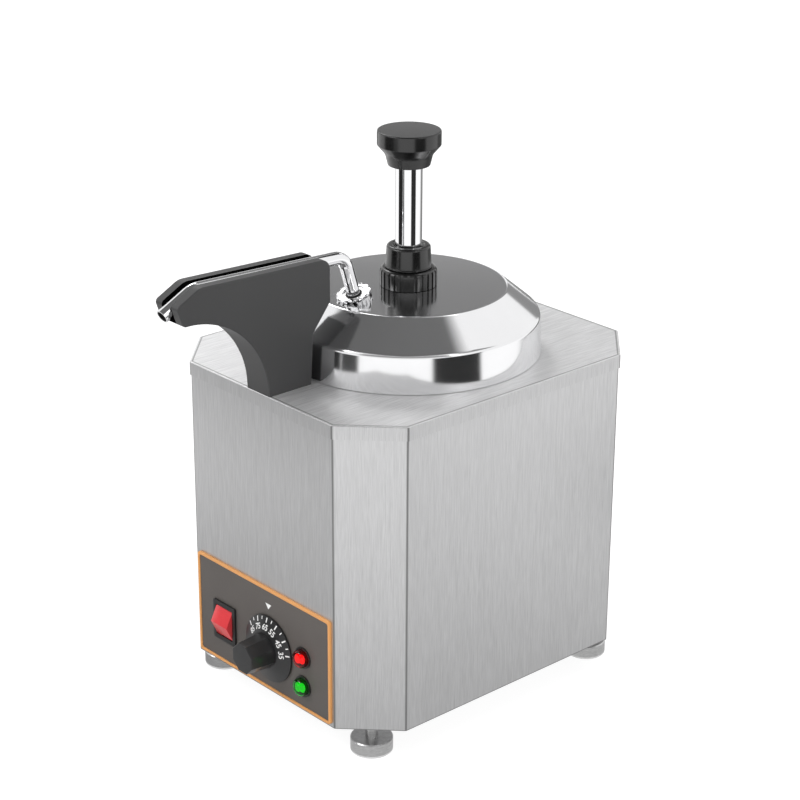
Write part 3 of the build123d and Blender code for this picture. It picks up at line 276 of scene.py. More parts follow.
scene.world = bpy.data.worlds.new("studio")
sky = Finish("studio", scene.world)
lit = sky.node("ShaderNodeBackground", None, {"Color": (1, 1, 1), "Strength": studio["ambient"]})
seen = sky.node("ShaderNodeBackground", None, {"Color": (1, 1, 1), "Strength": 1.0})
mixed = sky.node("ShaderNodeMixShader", None, {0: whiteWhereSeen(sky), 1: lit, 2: seen})
sky.node("ShaderNodeOutputWorld", None, {"Surface": mixed})


def floorFinish():
    finish = Finish("pale_floor")
    plain = finish.node("ShaderNodeBsdfDiffuse", None, {"Color": (studio["plain"],) * 3})
    shaded = finish.node("ShaderNodeBsdfDiffuse", None, {"Color": (studio["shadow"],) * 3})
    white = finish.node("ShaderNodeEmission", None, {"Color": (1, 1, 1), "Strength": studio["floor"]})
    bright = finish.node("ShaderNodeAddShader", None, {0: shaded, 1: white})
    mixed = finish.node("ShaderNodeMixShader", None, {0: whiteWhereSeen(finish), 1: plain, 2: bright})
    finish.node("ShaderNodeOutputMaterial", None, {"Surface": mixed})
    return finish.material


bpy.ops.object.select_all(action="DESELECT")
bpy.ops.mesh.primitive_circle_add(vertices=96, radius=studio["radius"], fill_type="NGON", location=(0, 0, 0))
floor = bpy.context.object
floor.name = "floor"
wear(floor, floorFinish())

# soft lamps, each aimed at the middle of the cabinet
lamps = {
    "key": {"place": (-1.1, -2.2, 2.4), "size": 1.6, "power": 26},
    "side": {"place": (2.6, -0.4, 1.6), "size": 1.4, "power": 10},
    "top": {"place": (0.2, 0.3, 2.8), "size": 1.8, "power": 18},
    "back": {"place": (-1.84, 0.78, 2.07), "size": 0.9, "power": 8},
}
for name, lamp in lamps.items():
    bpy.ops.object.select_all(action="DESELECT")
    bpy.ops.object.light_add(type="AREA", location=lamp["place"])
    light = bpy.context.object
    light.name = name + "_lamp"
    light.data.shape = "DISK"
    light.data.size = lamp["size"]
    light.data.energy = lamp["power"]
    aim = Vector(studio["aim"]) - Vector(lamp["place"])
    light.rotation_euler = aim.to_track_quat("-Z", "Y").to_euler()
    light.visible_camera = False

# studio flags: cards that only shiny surfaces see, fading into the white at their edges
flags = {
    "overhead": {"middle": (0, -0.2625, 1.35), "width": 1.9, "tall": 1.375, "grey": 0.14, "soft": 0.20},
    "right": {
        "azimuth": 87.7, "away": 0.75, "width": 0.59,
        "low": 0.0, "high": 0.34, "grey": 0.028, "soft": 0.04,
    },
    "left": {
        "azimuth": -27, "away": 0.75, "width": 0.60,
        "low": 0.0, "high": 0.34, "grey": 0.02, "soft": 0.04,
    },
    "left_edge": {
        "azimuth": 0, "away": 0.80, "width": 0.26,
        "low": 0.0, "high": 0.26, "grey": 0.06, "soft": 0.03,
    },
    "rear": {
        "azimuth": -137, "away": 3.0, "width": 1.9,
        "low": 1.15, "high": 7.0, "grey": 0.22, "soft": 0.10,
    },
    "rear_side": {
        "azimuth": -157, "away": 3.0, "width": 0.9,
        "low": 0.0, "high": 7.0, "grey": 0.28, "soft": 0.10,
    },
    "right_upper": {
        "azimuth": 113, "away": 1.5, "width": 1.1,
        "low": 1.13, "high": 2.5, "grey": 0.30, "soft": 0.10,
    },
    "front_upper": {
        "azimuth": 45.8, "away": 1.5, "width": 2.56,
        "low": 0.70, "high": 2.1, "grey": 0.35, "soft": 0.10,
    },
}
# painted shade on the floor that only shiny surfaces see
floorShadeFlag = {
    "radius": 3.0, "height": 0.002, "left": 0.30, "right": 0.55, "middle": (-0.15, 0.05),
    "from": 0.16, "to": 0.72,
    "rear": 0.24, "rearX": (0.52, 0.22), "rearY": (0.28, 0.42), "strength": 1.12,
}


def glossyOnly(card):
    card.visible_camera = False
    card.visible_diffuse = False
    card.visible_transmission = False
    card.visible_volume_scatter = False
    card.visible_shadow = False


for name, flag in flags.items():
    bpy.ops.object.select_all(action="DESELECT")
    if "azimuth" in flag:
        turn = math.radians(flag["azimuth"])
        away, middle = flag["away"], (flag["high"] + flag["low"]) / 2
        flag["tall"] = flag["high"] - flag["low"]
        place = (away * math.sin(turn), -away * math.cos(turn), middle)
        bpy.ops.mesh.primitive_plane_add(size=1, location=place, rotation=(math.radians(90), 0, turn))
    else:
        bpy.ops.mesh.primitive_plane_add(size=1, location=flag["middle"])
    card = bpy.context.object
    card.name = name + "_flag"
    card.scale = (flag["width"], flag["tall"], 1)
    paper = Finish(name + "_flag")
    x, y, z = paper.axes()
    lowEdge = (0.5 + y) * flag["tall"] + (flag["soft"] if flag.get("low") == 0.0 else 0.0)
    edge = paper.least((0.5 - paper.size(x)) * flag["width"], paper.least((0.5 - y) * flag["tall"], lowEdge))
    level = 1 - (1 - flag["grey"]) * paper.ramp(edge, 0.0, flag["soft"])
    tone = paper.node("ShaderNodeCombineColor", None, {0: level, 1: level, 2: level})
    shade = paper.node("ShaderNodeEmission", None, {"Color": tone, "Strength": 1.0})
    paper.node("ShaderNodeOutputMaterial", None, {"Surface": shade})
    wear(card, paper.material)
    glossyOnly(card)

# the floor as shiny surfaces see it, with painted shade: darker close to the cabinet and in a patch behind it
bpy.ops.object.select_all(action="DESELECT")
bpy.ops.mesh.primitive_circle_add(
    vertices=64, radius=floorShadeFlag["radius"], fill_type="NGON", location=(0, 0, floorShadeFlag["height"])
)
card = bpy.context.object
card.name = "floor_shade_flag"
paper = Finish("floor_shade_flag")
x, y, z = paper.axes()
away = paper.root(x * x + y * y)
near = floorShadeFlag["left"] + (floorShadeFlag["right"] - floorShadeFlag["left"]) * paper.ramp(x, *floorShadeFlag["middle"])
bright = near + (1 - near) * paper.ramp(away, floorShadeFlag["from"], floorShadeFlag["to"])
shadeBehind = paper.ramp(x, *floorShadeFlag["rearX"]) * paper.ramp(y, *floorShadeFlag["rearY"])
bright = bright * (1 - (1 - floorShadeFlag["rear"]) * shadeBehind)
tone = paper.node("ShaderNodeCombineColor", None, {0: bright, 1: bright, 2: bright})
shade = paper.node("ShaderNodeEmission", None, {"Color": tone, "Strength": floorShadeFlag["strength"]})
paper.node("ShaderNodeOutputMaterial", None, {"Surface": shade})
wear(card, paper.material)
glossyOnly(card)
print("camera and light are set")


# the cabinet's folds, from the middle outwards: half widths, cut corners and the sheet's edge lines
cabinetEdge = {
    "halfWidth": 0.124, "halfDepth": 0.150, "corner": 0.0392, "bodyInset": 0.0011, "fold": 0.0006,
    "foot": 0.0255, "footLine": (0.0003, 0.0009), "rimLine": 0.0021, "rimWidth": 0.0004,
}


def foldMask(finish, inset):
    # 1 along the upright folds of the cabinet or of its lip
    x, y, z = finish.axes()
    across, along = finish.size(x), finish.size(y)
    leg = cabinetEdge["corner"] - inset * (2 - math.sqrt(2))
    halfX, halfY = cabinetEdge["halfWidth"] - inset, cabinetEdge["halfDepth"] - inset

    def near(px, py):
        dx, dy = across - px, along - py
        return finish.root(dx * dx + dy * dy)

    nearest = finish.least(near(halfX, halfY - leg), near(halfX - leg, halfY))
    return 1 - finish.ramp(nearest, cabinetEdge["fold"], cabinetEdge["fold"] * 2)


brushing = {
    "broad": 0.3, "broadShare": 0.2, "low": 0.30, "high": 0.70, "grainRough": 0.08,
    "scuff": 9, "scuffRough": 0.05, "depth": 0.0002,
}


def brushed(finish, scale, look):
    # the tone, roughness and height of fine lines along the axis with the small scale
    fine = finish.noise(scale, detail=4, rough=0.65)
    broad = finish.noise(tuple(s * brushing["broad"] for s in scale), detail=2, move=(3, 1, 2))
    scuff = finish.noise((brushing["scuff"],) * 3, detail=3, move=(1, 4, 2))
    share = brushing["broadShare"]
    grain = finish.ramp(fine * (1 - share) + broad * share, brushing["low"], brushing["high"])
    colour = finish.blend(grain, look["dark"], look["light"])
    rough = look["rough"] + grain * brushing["grainRough"] + scuff * brushing["scuffRough"]
    return colour, rough, fine


def brushedSteel(name, scale, look):
    finish = Finish(name)
    colour, rough, fine = brushed(finish, scale, look)
    relief = finish.bump(fine, look["bump"], brushing["depth"])
    return finish.surface(colour=colour, rough=rough, metal=1.0, normal=relief)


def cabinetSide(name, look):
    # upright grain, dark fold lines and a dark line along the bottom edge
    finish = Finish(name)
    colour, rough, fine = brushed(finish, look["scale"], look)
    x, y, z = finish.axes()
    foot = 1 - finish.ramp(z, *(cabinetEdge["foot"] + rise for rise in cabinetEdge["footLine"]))
    mask = finish.most(foldMask(finish, cabinetEdge["bodyInset"]), foot) * look["foldDepth"]
    colour = finish.blend(mask, colour, look["foldTone"])
    relief = finish.bump(fine, look["bump"], brushing["depth"])
    return finish.surface(colour=colour, rough=rough, metal=1.0, normal=relief)


def cabinetTop(name, look, lip):
    # level grain on top, painted lighter than the lip as painted light from above, upright grain on the lip,
    # and a fine dark line inside the rim
    finish = Finish(name)
    flat, flatRough, flatFine = brushed(finish, look["scale"], look)
    side, sideRough, sideFine = brushed(finish, lip["scale"], lip)
    # painted light: faces that turn upwards take the top's lighter colours
    level = finish.ramp(finish.facing(), *look["litFacingFrom"])
    x, y, z = finish.axes()
    across, along = finish.size(x), finish.size(y)
    reach = cabinetEdge["halfWidth"] + cabinetEdge["halfDepth"] - cabinetEdge["corner"]
    inward = finish.least(
        finish.least(cabinetEdge["halfWidth"] - across, cabinetEdge["halfDepth"] - along),
        (reach - across - along) * math.sqrt(0.5),
    )
    rim = 1 - finish.ramp(
        finish.size(inward - cabinetEdge["rimLine"]), cabinetEdge["rimWidth"], cabinetEdge["rimWidth"] * 2
    )
    colour = finish.blend(level, side, flat)
    mask = finish.most(rim * level * look["rimDepth"], foldMask(finish, 0.0) * (1 - level) * lip["foldDepth"])
    colour = finish.blend(mask, colour, lip["foldTone"])
    rough = sideRough + (flatRough - sideRough) * level
    fine = sideFine + (flatFine - sideFine) * level
    relief = finish.bump(fine, look["bump"], brushing["depth"])
    return finish.surface(colour=colour, rough=rough, metal=1.0, normal=relief)


polish = {"haze": 30, "low": 0.35, "high": 0.75, "fade": 0.97, "roughen": 0.012}


def polished(name, colour, rough):
    # mirror-bright metal with faint hazy spots
    finish = Finish(name)
    haze = finish.noise((polish["haze"],) * 3, detail=4, rough=0.6)
    spots = finish.ramp(haze, polish["low"], polish["high"])
    tint = finish.blend(spots, colour, tuple(c * polish["fade"] for c in colour))
    return finish.surface(colour=tint, rough=rough + spots * polish["roughen"], metal=1.0)


moulding = {
    "cloud": 14, "cloudShare": 0.7, "low": 0.3, "high": 0.7,
    "roughen": 0.06, "depth": 0.0002, "coatRough": 0.1,
}


def drifting(finish, colour, grain, drift):
    # a fine grain, broad clouds, and a tone that wanders with both
    fine = finish.noise((grain,) * 3, detail=2)
    cloud = finish.noise((moulding["cloud"],) * 3, detail=3, move=(5, 2, 7))
    share = moulding["cloudShare"]
    tone = finish.ramp(cloud * share + fine * (1 - share), moulding["low"], moulding["high"])
    darker, lighter = (tuple(c * (1 + side * drift) for c in colour) for side in (-1, 1))
    return fine, cloud, finish.blend(tone, darker, lighter)


def moulded(name, colour, rough, grain=900.0, bump=0.12, coat=0.0, drift=0.12, shine=0.5):
    # plastic with a fine moulded grain and a slight drift of tone
    finish = Finish(name)
    fine, cloud, shade = drifting(finish, colour, grain, drift)
    roughness = rough + cloud * moulding["roughen"] - moulding["roughen"] / 2
    return finish.surface(
        colour=shade, rough=roughness, coat=coat, coatRough=moulding["coatRough"], specular=shine,
        normal=finish.bump(fine, bump, moulding["depth"]),
    )


# the housing's coat, with the slot's half width, floor and rear end in metres; the slot's inside is painted
# black as painted shade
coatLook = {
    "tone": (0.033, 0.033, 0.034), "rough": 0.46, "shine": 0.65, "slotShadeTone": (0.002, 0.002, 0.002),
    "slotRough": 0.9, "slotSide": 0.0056, "slotFloor": 0.3487, "slotRear": 0.0902,
    "sideFade": (0.00002, 0.0001), "floorFade": 0.0005, "rearFade": 0.0002,
    "grain": 900, "drift": 0.08, "bump": 0.10,
}


def housingCoat(name, look):
    # satin coating, with painted shade: black and matt inside the tube's slot
    finish = Finish(name)
    fine, cloud, shade = drifting(finish, look["tone"], look["grain"], look["drift"])
    x, y, z = finish.axes()
    inside = 1 - finish.ramp(finish.size(x), *(look["slotSide"] + fade for fade in look["sideFade"]))
    above = finish.ramp(z, look["slotFloor"], look["slotFloor"] + look["floorFade"])
    above = above * finish.ramp(0 - y, look["slotRear"], look["slotRear"] + look["rearFade"])
    coat = finish.node(
        "ShaderNodeBsdfPrincipled", None,
        {
            "Base Color": shade, "Roughness": look["rough"] + cloud * moulding["roughen"],
            "Normal": finish.bump(fine, look["bump"], moulding["depth"]), "Specular IOR Level": look["shine"],
        },
    )
    # painted shade: the slot's inside is made black and matt
    slotShade = finish.node(
        "ShaderNodeBsdfPrincipled", None,
        {"Base Color": look["slotShadeTone"], "Roughness": look["slotRough"], "Specular IOR Level": 0.0},
    )
    mixed = finish.node("ShaderNodeMixShader", None, {0: inside * above, 1: coat, 2: slotShade})
    finish.node("ShaderNodeOutputMaterial", None, {"Surface": mixed})
    return finish.material


lensLook = {"haze": 90, "fade": 0.85, "rough": 0.02, "ior": 1.42}
glowLook = {"cloud": 420, "low": 0.35, "high": 0.65, "rough": 0.4, "strength": 1.7}


def lensFinish(name, colour):
    # clear coloured plastic with a faint haze
    finish = Finish(name)
    haze = finish.noise((lensLook["haze"],) * 3, detail=2)
    tint = finish.blend(haze, colour, tuple(c * lensLook["fade"] for c in colour))
    rough = lensLook["rough"] + haze * lensLook["rough"]
    return finish.surface(colour=tint, rough=rough, clear=1.0, ior=lensLook["ior"])


def glowFinish(name, bright, deep):
    # the lit body inside a lamp, in brighter and deeper patches
    finish = Finish(name)
    cloud = finish.noise((glowLook["cloud"],) * 3, detail=2, move=(2, 5, 1))
    light = finish.blend(finish.ramp(cloud, glowLook["low"], glowLook["high"]), deep, bright)
    return finish.surface(colour=deep, rough=glowLook["rough"], glow=light, glowStrength=glowLook["strength"])


sideLook = {
    "scale": (1500, 1500, 55), "dark": (0.53, 0.53, 0.535), "light": (0.70, 0.70, 0.705),
    "rough": 0.30, "bump": 0.08, "foldDepth": 0.75, "foldTone": (0.16, 0.16, 0.16),
}
# painted light: the top's steel is lighter than the lip's and the sides', as light from above
litTopLook = {
    "scale": (1300, 40, 1300), "dark": (0.68, 0.68, 0.685), "light": (0.96, 0.96, 0.965),
    "rough": 0.52, "bump": 0.16, "rimDepth": 0.55, "litFacingFrom": (0.55, 0.8),
}
lipLook = {
    "scale": (1500, 1500, 55), "dark": (0.50, 0.50, 0.505), "light": (0.70, 0.70, 0.705),
    "rough": 0.34, "bump": 0.06, "foldDepth": 0.7, "foldTone": (0.14, 0.14, 0.14),
}
footLook = {"dark": (0.48, 0.48, 0.48), "light": (0.72, 0.72, 0.72), "rough": 0.26, "bump": 0.08}
innerLook = {"dark": (0.55, 0.55, 0.55), "light": (0.72, 0.72, 0.72), "rough": 0.30, "bump": 0.08}
brushedSide = cabinetSide("brushed_side", sideLook)
brushedTop = cabinetTop("brushed_top", litTopLook, lipLook)
turnedSteel = brushedSteel("turned_steel", (300, 300, 1400), footLook)
zincSteel = brushedSteel("zinc_steel", (400, 400, 400), footLook)
potSteel = brushedSteel("pot_steel", (60, 60, 1200), innerLook)
mirrorSteel = polished("mirror_steel", (0.88, 0.88, 0.89), 0.11)
chrome = polished("bright_chrome", (0.90, 0.90, 0.91), 0.05)
# the outlet wedge's steel: darker than the chrome, partly its own cast finish and partly painted shade under
# the star nut
castSteel = polished("cast_steel", (0.62, 0.62, 0.63), 0.12)
# painted shade: near-black for the spout's bore and for the dark ring in its nut
boreShade = moulded("bore_shade", (0.010, 0.010, 0.010), 0.6)
blackPlastic = moulded("black_plastic", (0.004, 0.004, 0.004), 0.20, bump=0.05, shine=0.75)
greyCoating = housingCoat("dark_grey_coating", coatLook)
panelFilm = moulded("panel_film", (0.112, 0.100, 0.092), 0.55, grain=1400.0, bump=0.08)
orangeTrim = moulded("orange_trim", (0.80, 0.37, 0.115), 0.34, bump=0.05, drift=0.05)
switchBlack = moulded("switch_black", (0.018, 0.018, 0.018), 0.36)
rockerRed = moulded("rocker_red", (0.80, 0.050, 0.060), 0.30, bump=0.02, coat=0.4, drift=0.04)
dialBlack = moulded("dial_black", (0.020, 0.020, 0.021), 0.34, bump=0.06, coat=0.15)
whitePrint = moulded("white_print", (0.95, 0.95, 0.94), 0.5, bump=0.04, drift=0.03)
whitePlastic = moulded("white_plastic", (0.78, 0.78, 0.76), 0.45, drift=0.03)
ivoryPlastic = moulded("ivory_plastic", (0.66, 0.62, 0.52), 0.5, drift=0.05)
brownMoulding = moulded("brown_moulding", (0.09, 0.05, 0.03), 0.4)
silicone = moulded("silicone_seal", (0.46, 0.43, 0.41), 0.6)
woolMat = moulded("wool_mat", (0.70, 0.64, 0.44), 0.95, grain=260.0, bump=0.9, drift=0.25)
brass = polished("brass", (0.72, 0.52, 0.24), 0.22)
heaterSheath = brushedSteel("heater_sheath", (300, 300, 300), footLook)
lensRed = lensFinish("lens_red", (0.72, 0.012, 0.012))
lensGreen = lensFinish("lens_green", (0.012, 0.48, 0.045))
glowRed = glowFinish("glow_red", (1.0, 0.035, 0.030), (0.75, 0.006, 0.006))
glowGreen = glowFinish("glow_green", (0.05, 0.95, 0.09), (0.01, 0.50, 0.02))

slotFinish = {
    "brushed_stainless": brushedSide, "zinc_steel": zincSteel, "pot_stainless": potSteel,
    "mirror_stainless": mirrorSteel, "polished_steel": chrome, "black_plastic": blackPlastic,
    "dark_grey_coating": greyCoating, "panel_film": panelFilm, "orange_trim": orangeTrim,
    "switch_black": switchBlack, "rocker_red": rockerRed, "lens_red": lensRed,
    "lens_green": lensGreen, "dial_black": dialBlack, "brass_terminal": brass,
    "heater_sheath": heaterSheath, "glass_wool": woolMat, "phenolic_brown": brownMoulding,
    "ivory_plastic": ivoryPlastic, "white_plastic": whitePlastic, "silicone_seal": silicone,
}
nodeFinish = {"top_plate": brushedTop, "base_plate": brushedTop, "outlet_wedge": castSteel}
for part in frame["record"]["subparts"]:
    node = part["node"]
    finish = nodeFinish.get(node, slotFinish[part["material_slot"]])
    if node.startswith("foot_") and node != "foot_nuts":
        finish = turnedSteel
    for slot in nodes[node].material_slots:
        slot.material = finish
print("finishes are on")

# new pieces, in millimetres in the dictionaries
def rounded(points, corners, steps=6):
    # a profile whose named corners are rounded: corners maps a point's place in the list to its radius
    out = []
    for i, point in enumerate(points):
        radius = corners.get(i)
        if not radius:
            out.append(point)
            continue
        here = Vector(point)
        before = (Vector(points[i - 1]) - here).normalized()
        after = (Vector(points[(i + 1) % len(points)]) - here).normalized()
        half = before.angle(after) / 2
        middle = here + (before + after).normalized() * (radius / math.sin(half))
        start = here + before * (radius / math.tan(half)) - middle
        end = here + after * (radius / math.tan(half)) - middle
        sweep = start.angle_signed(end)
        for step in range(steps + 1):
            turn = Matrix.Rotation(-sweep * step / steps, 2)
            out.append(tuple(middle + turn @ start))
    return out


def turnedShell(profile, steps):
    # spins a closed profile of (radius, height), in millimetres, about the upright axis
    bpy.ops.object.select_all(action="DESELECT")
    bpy.ops.mesh.primitive_plane_add(size=1)
    piece = bpy.context.object
    edit(piece, "VERT")
    bpy.ops.mesh.select_all(action="SELECT")
    bpy.ops.mesh.merge(type="CENTER")
    bpy.ops.mesh.select_all(action="SELECT")
    bpy.ops.transform.translate(value=(profile[0][0] * mm, 0, profile[0][1] * mm))
    closed = list(profile) + [profile[0]]
    for (r0, h0), (r1, h1) in zip(closed, closed[1:]):
        bpy.ops.mesh.extrude_region_move(
            TRANSFORM_OT_translate={"value": ((r1 - r0) * mm, 0, (h1 - h0) * mm)}
        )
    bpy.ops.mesh.select_all(action="SELECT")
    bpy.ops.mesh.remove_doubles(threshold=1e-6)
    bpy.ops.mesh.spin(steps=steps, angle=2 * math.pi, center=(0, 0, 0), axis=(0, 0, 1))
    bpy.ops.mesh.select_all(action="SELECT")
    bpy.ops.mesh.remove_doubles(threshold=2e-6)
    bpy.ops.mesh.normals_make_consistent(inside=False)
    bpy.ops.object.mode_set(mode="OBJECT")
    settle(piece)
    return piece


def evened(piece):
    # broad faces keep their own direction, and only the rounded edges between them turn
    modify(piece, "WEIGHTED_NORMAL", keep_sharp=True, weight=50)


# the lid's dome: a spun shell with a rolled shoulder and a flat top
dome = {
    "foot": 275.8, "skirt": 104.8, "shoulder": (103.0, 305.0), "crown": (76.8, 327.0), "wall": 1.2,
    "shoulderEdge": 5.0, "crownEdge": 4.0, "neck": 16.1, "crownInset": 0.45, "shoulderDrop": 0.35,
    "outlet": {"y": -56.0, "radius": 8.3, "deep": 20.0}, "arc": 10,
}
wall = dome["wall"]
outer = [(dome["skirt"], dome["foot"]), dome["shoulder"], dome["crown"], (dome["neck"], dome["crown"][1])]
inner = [
    (dome["neck"], dome["crown"][1] - wall),
    (dome["crown"][0] - dome["crownInset"] * wall, dome["crown"][1] - wall),
    (dome["shoulder"][0] - wall, dome["shoulder"][1] - dome["shoulderDrop"] * wall),
    (dome["skirt"] - wall, dome["foot"]),
]
shoulder, crown = dome["shoulderEdge"], dome["crownEdge"]
profile = rounded(outer + inner, {1: shoulder, 2: crown, 5: crown - wall, 6: shoulder - wall}, dome["arc"])
cover = turnedShell(profile, 160)
bpy.ops.object.select_all(action="DESELECT")
bpy.ops.mesh.primitive_cylinder_add(
    vertices=64, radius=dome["outlet"]["radius"] * mm, depth=dome["outlet"]["deep"] * mm,
    location=(0, dome["outlet"]["y"] * mm, dome["crown"][1] * mm),
)
plug = bpy.context.object
modify(cover, "BOOLEAN", operation="DIFFERENCE", object=plug, solver="EXACT")
bpy.data.objects.remove(plug)
settle(cover)
evened(cover)
finished(cover, "lid_cover", "lid", "mirror_stainless", mirrorSteel, ("lid",))

# the guide collar, with a lip at its foot and a funnel round the rod
collar = {
    "foot": 341.8, "top": 359.5, "lip": 18.4, "lipTall": 1.2, "low": 17.9, "high": 17.0, "bore": 10.45,
    "mouth": 2.2, "spigot": 329.8, "spigotRadius": 14.0, "neck": 16.0, "neckTall": 0.3,
    "edges": {5: 0.4, 6: 0.5, 7: 0.5, 8: 2.2, 9: 0.8}, "arc": 5,
}
bore, foot, top = collar["bore"], collar["foot"], collar["top"]
neckFoot, lipTop = foot - collar["neckTall"], foot + collar["lipTall"]
points = [
    (bore, collar["spigot"]), (collar["spigotRadius"], collar["spigot"]), (collar["spigotRadius"], neckFoot),
    (collar["neck"], neckFoot), (collar["neck"], foot), (collar["lip"], foot), (collar["lip"], lipTop),
    (collar["low"], lipTop), (collar["high"], top), (bore + collar["mouth"], top),
    (bore, top - collar["mouth"]),
]
profile = rounded(points, collar["edges"], collar["arc"])
sleeve = turnedShell(profile, 96)
evened(sleeve)
finished(sleeve, "rod_collar", "lid", "black_plastic", blackPlastic, ("guide_collar",))

# the push knob: a disc on a stem that widens upwards
knob = {
    "foot": 422.5, "neck": 16.2, "waist": 17.9, "waistUp": 7.0, "flare": 19.7, "flareUp": 10.5, "disc": 24.6,
    "discUp": 16.2, "tall": 27.4, "edge": 1.0, "bore": 10.4, "boreUp": 15.0, "steps": 8,
}
foot = knob["foot"]
first = Vector((knob["waist"], foot + knob["waistUp"]))
chord = Vector((knob["flare"], foot + knob["flareUp"])) - first
along = Vector((knob["waist"] - knob["neck"], knob["waistUp"])).normalized()
side = Vector((along.y, -along.x))
bend = chord.length_squared / (2 * chord.dot(side))
middle = first + side * bend
sweep = 2 * math.asin(chord.length / (2 * bend))
turns = [Matrix.Rotation(-sweep * i / knob["steps"], 2) for i in range(knob["steps"] + 1)]
curve = [tuple(middle + turn @ (first - middle)) for turn in turns]
boreTop, top = foot + knob["boreUp"], foot + knob["tall"]
points = [(0, boreTop), (knob["bore"], boreTop), (knob["bore"], foot), (knob["neck"], foot)]
points += curve + [(knob["disc"], foot + knob["discUp"]), (knob["disc"], top), (0, top)]
disc = len(points) - 3
profile = rounded(points, {3: knob["edge"], disc: knob["edge"], disc + 1: knob["edge"]}, 6)
grip = turnedShell(profile, 96)
evened(grip)
finished(grip, "push_knob", "plunger", "black_plastic", blackPlastic, ("knob",))

# the plunger's rod, a polished tube
rod = {"radius": 10.4, "wall": 1.2}
low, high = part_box("plunger_rod")
foot, top = low[2] / mm, high[2] / mm
inside = rod["radius"] - rod["wall"]
profile = [(inside, foot), (rod["radius"], foot), (rod["radius"], top), (inside, top)]
finished(turnedShell(profile, 128), "press_rod", "plunger", "polished_steel", chrome, ("plunger_rod",))
print("the lid, the collar, the rod and the knob are turned")


# the spout: a ring pushed along its route, bend by bend
spout = {
    "radius": 5.25, "wall": 0.9, "lean": 17.5, "axis": (-56.0, 332.0), "start": -5.0, "level": 363.3,
    "bends": (12.5, 20.0), "crest": (-207.0, 368.9), "tip": (-233.8, 355.1), "steps": 14,
}
lean = math.radians(spout["lean"])
axisY, axisZ = spout["axis"]
start = Vector((axisY - spout["start"] * math.sin(lean), axisZ + spout["start"] * math.cos(lean)))
top = Vector((axisY - (spout["level"] - axisZ) * math.tan(lean), spout["level"]))
dip = Vector(spout["crest"])
tip = Vector(spout["tip"])
route = [start, top, dip, tip]
stations = [(start, math.atan2(-(top - start).x, (top - start).y))]
for i, radius in ((1, spout["bends"][0]), (2, spout["bends"][1])):
    here = route[i]
    before, after = (route[i - 1] - here).normalized(), (route[i + 1] - here).normalized()
    half = before.angle(after) / 2
    middle = here + (before + after).normalized() * (radius / math.sin(half))
    reach = radius / math.tan(half)
    first, last = here + before * reach - middle, here + after * reach - middle
    sweep = first.angle_signed(last)
    into = -before
    for step in range(spout["steps"] + 1):
        turn = Matrix.Rotation(-sweep * step / spout["steps"], 2)
        along = turn @ into
        stations.append((middle + turn @ first, math.atan2(-along.x, along.y)))
stations.append((tip, stations[-1][1]))
bpy.ops.object.select_all(action="DESELECT")
bpy.ops.mesh.primitive_circle_add(
    vertices=64, radius=spout["radius"] * mm, fill_type="NOTHING",
    location=(0, start.x * mm, start.y * mm), rotation=(stations[0][1], 0, 0),
)
pipe = bpy.context.object
bpy.ops.object.transform_apply(location=True, rotation=True, scale=True)
edit(pipe, "VERT")
bpy.ops.mesh.select_all(action="SELECT")
for (here, angle), (there, nextAngle) in zip(stations, stations[1:]):
    step = (there - here) * mm
    bpy.ops.mesh.extrude_region_move(TRANSFORM_OT_translate={"value": (0, step.x, step.y)})
    if abs(nextAngle - angle) > 1e-6:
        bpy.ops.transform.rotate(
            value=angle - nextAngle, orient_axis="X", orient_type="GLOBAL",
            center_override=(0, there.x * mm, there.y * mm),
        )
bpy.ops.mesh.select_all(action="SELECT")
bpy.ops.mesh.normals_make_consistent(inside=False)
bpy.ops.object.mode_set(mode="OBJECT")
wear(pipe, chrome)
# the pipe's inner faces take the painted shade of the bore
pipe.data.materials.append(boreShade)
modify(
    pipe, "SOLIDIFY", thickness=spout["wall"] * mm, offset=-1, use_even_offset=True, material_offset=1,
)
settle(pipe, 40)
pipe.name = "spout_pipe"
pipe.data.name = "spout_pipe"
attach(pipe, "lid")
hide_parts("spout_tube")

# a dark ring in the spout nut's recess round the riser, as painted shade for the recess
riserShade = {"inside": 5.4, "outside": 6.4, "foot": -0.55, "top": -0.05, "edge": 0.3, "arc": 4}
inside, outside, foot, top = (riserShade[k] for k in ("inside", "outside", "foot", "top"))
points = [(inside, foot), (outside, foot), (outside, top), (inside, top)]
profile = rounded(points, {2: riserShade["edge"], 3: riserShade["edge"]}, riserShade["arc"])
ring = turnedShell(profile, 64)
ring.rotation_euler = (lean, 0, 0)
ring.location = (0, axisY * mm, axisZ * mm)
settle(ring)
finished(ring, "riser_shade_ring", "lid", "black_plastic", boreShade)

# cast and moulded pieces whose edges are slightly broken
brokenEdges = {
    "rocker": ("rocker_key", "rocker", "rocker_red", rockerRed, 0.7),
    "dial_grip": ("dial_handle", "dial", "dial_black", dialBlack, 0.45),
    "clamp_nut": ("ribbed_nut", "clamp_nut", "black_plastic", blackPlastic, 0.15),
    "outlet_nut": ("star_nut", "outlet_nut", "polished_steel", chrome, 0.18),
    "switch_body": ("switch_frame", "cabinet", "switch_black", switchBlack, 0.35),
}
for node, (name, body, slotName, finish, width) in brokenEdges.items():
    roundedCopy(node, name, body, slotName, finish, width * mm)

# the pump's spring, which closes up as the plunger goes down; here it is a copy with broken edges on a mesh
# of its own, and its travel is not used
spring = {"edge": 0.1, "travel": 55.0}
edge = spring["edge"] * mm
coil = roundedCopy("return_spring", "coil_spring", "plunger", "polished_steel", chrome, edge)
low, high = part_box("return_spring")
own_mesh(coil)
print("the spout, the broken edges and the spring are made")

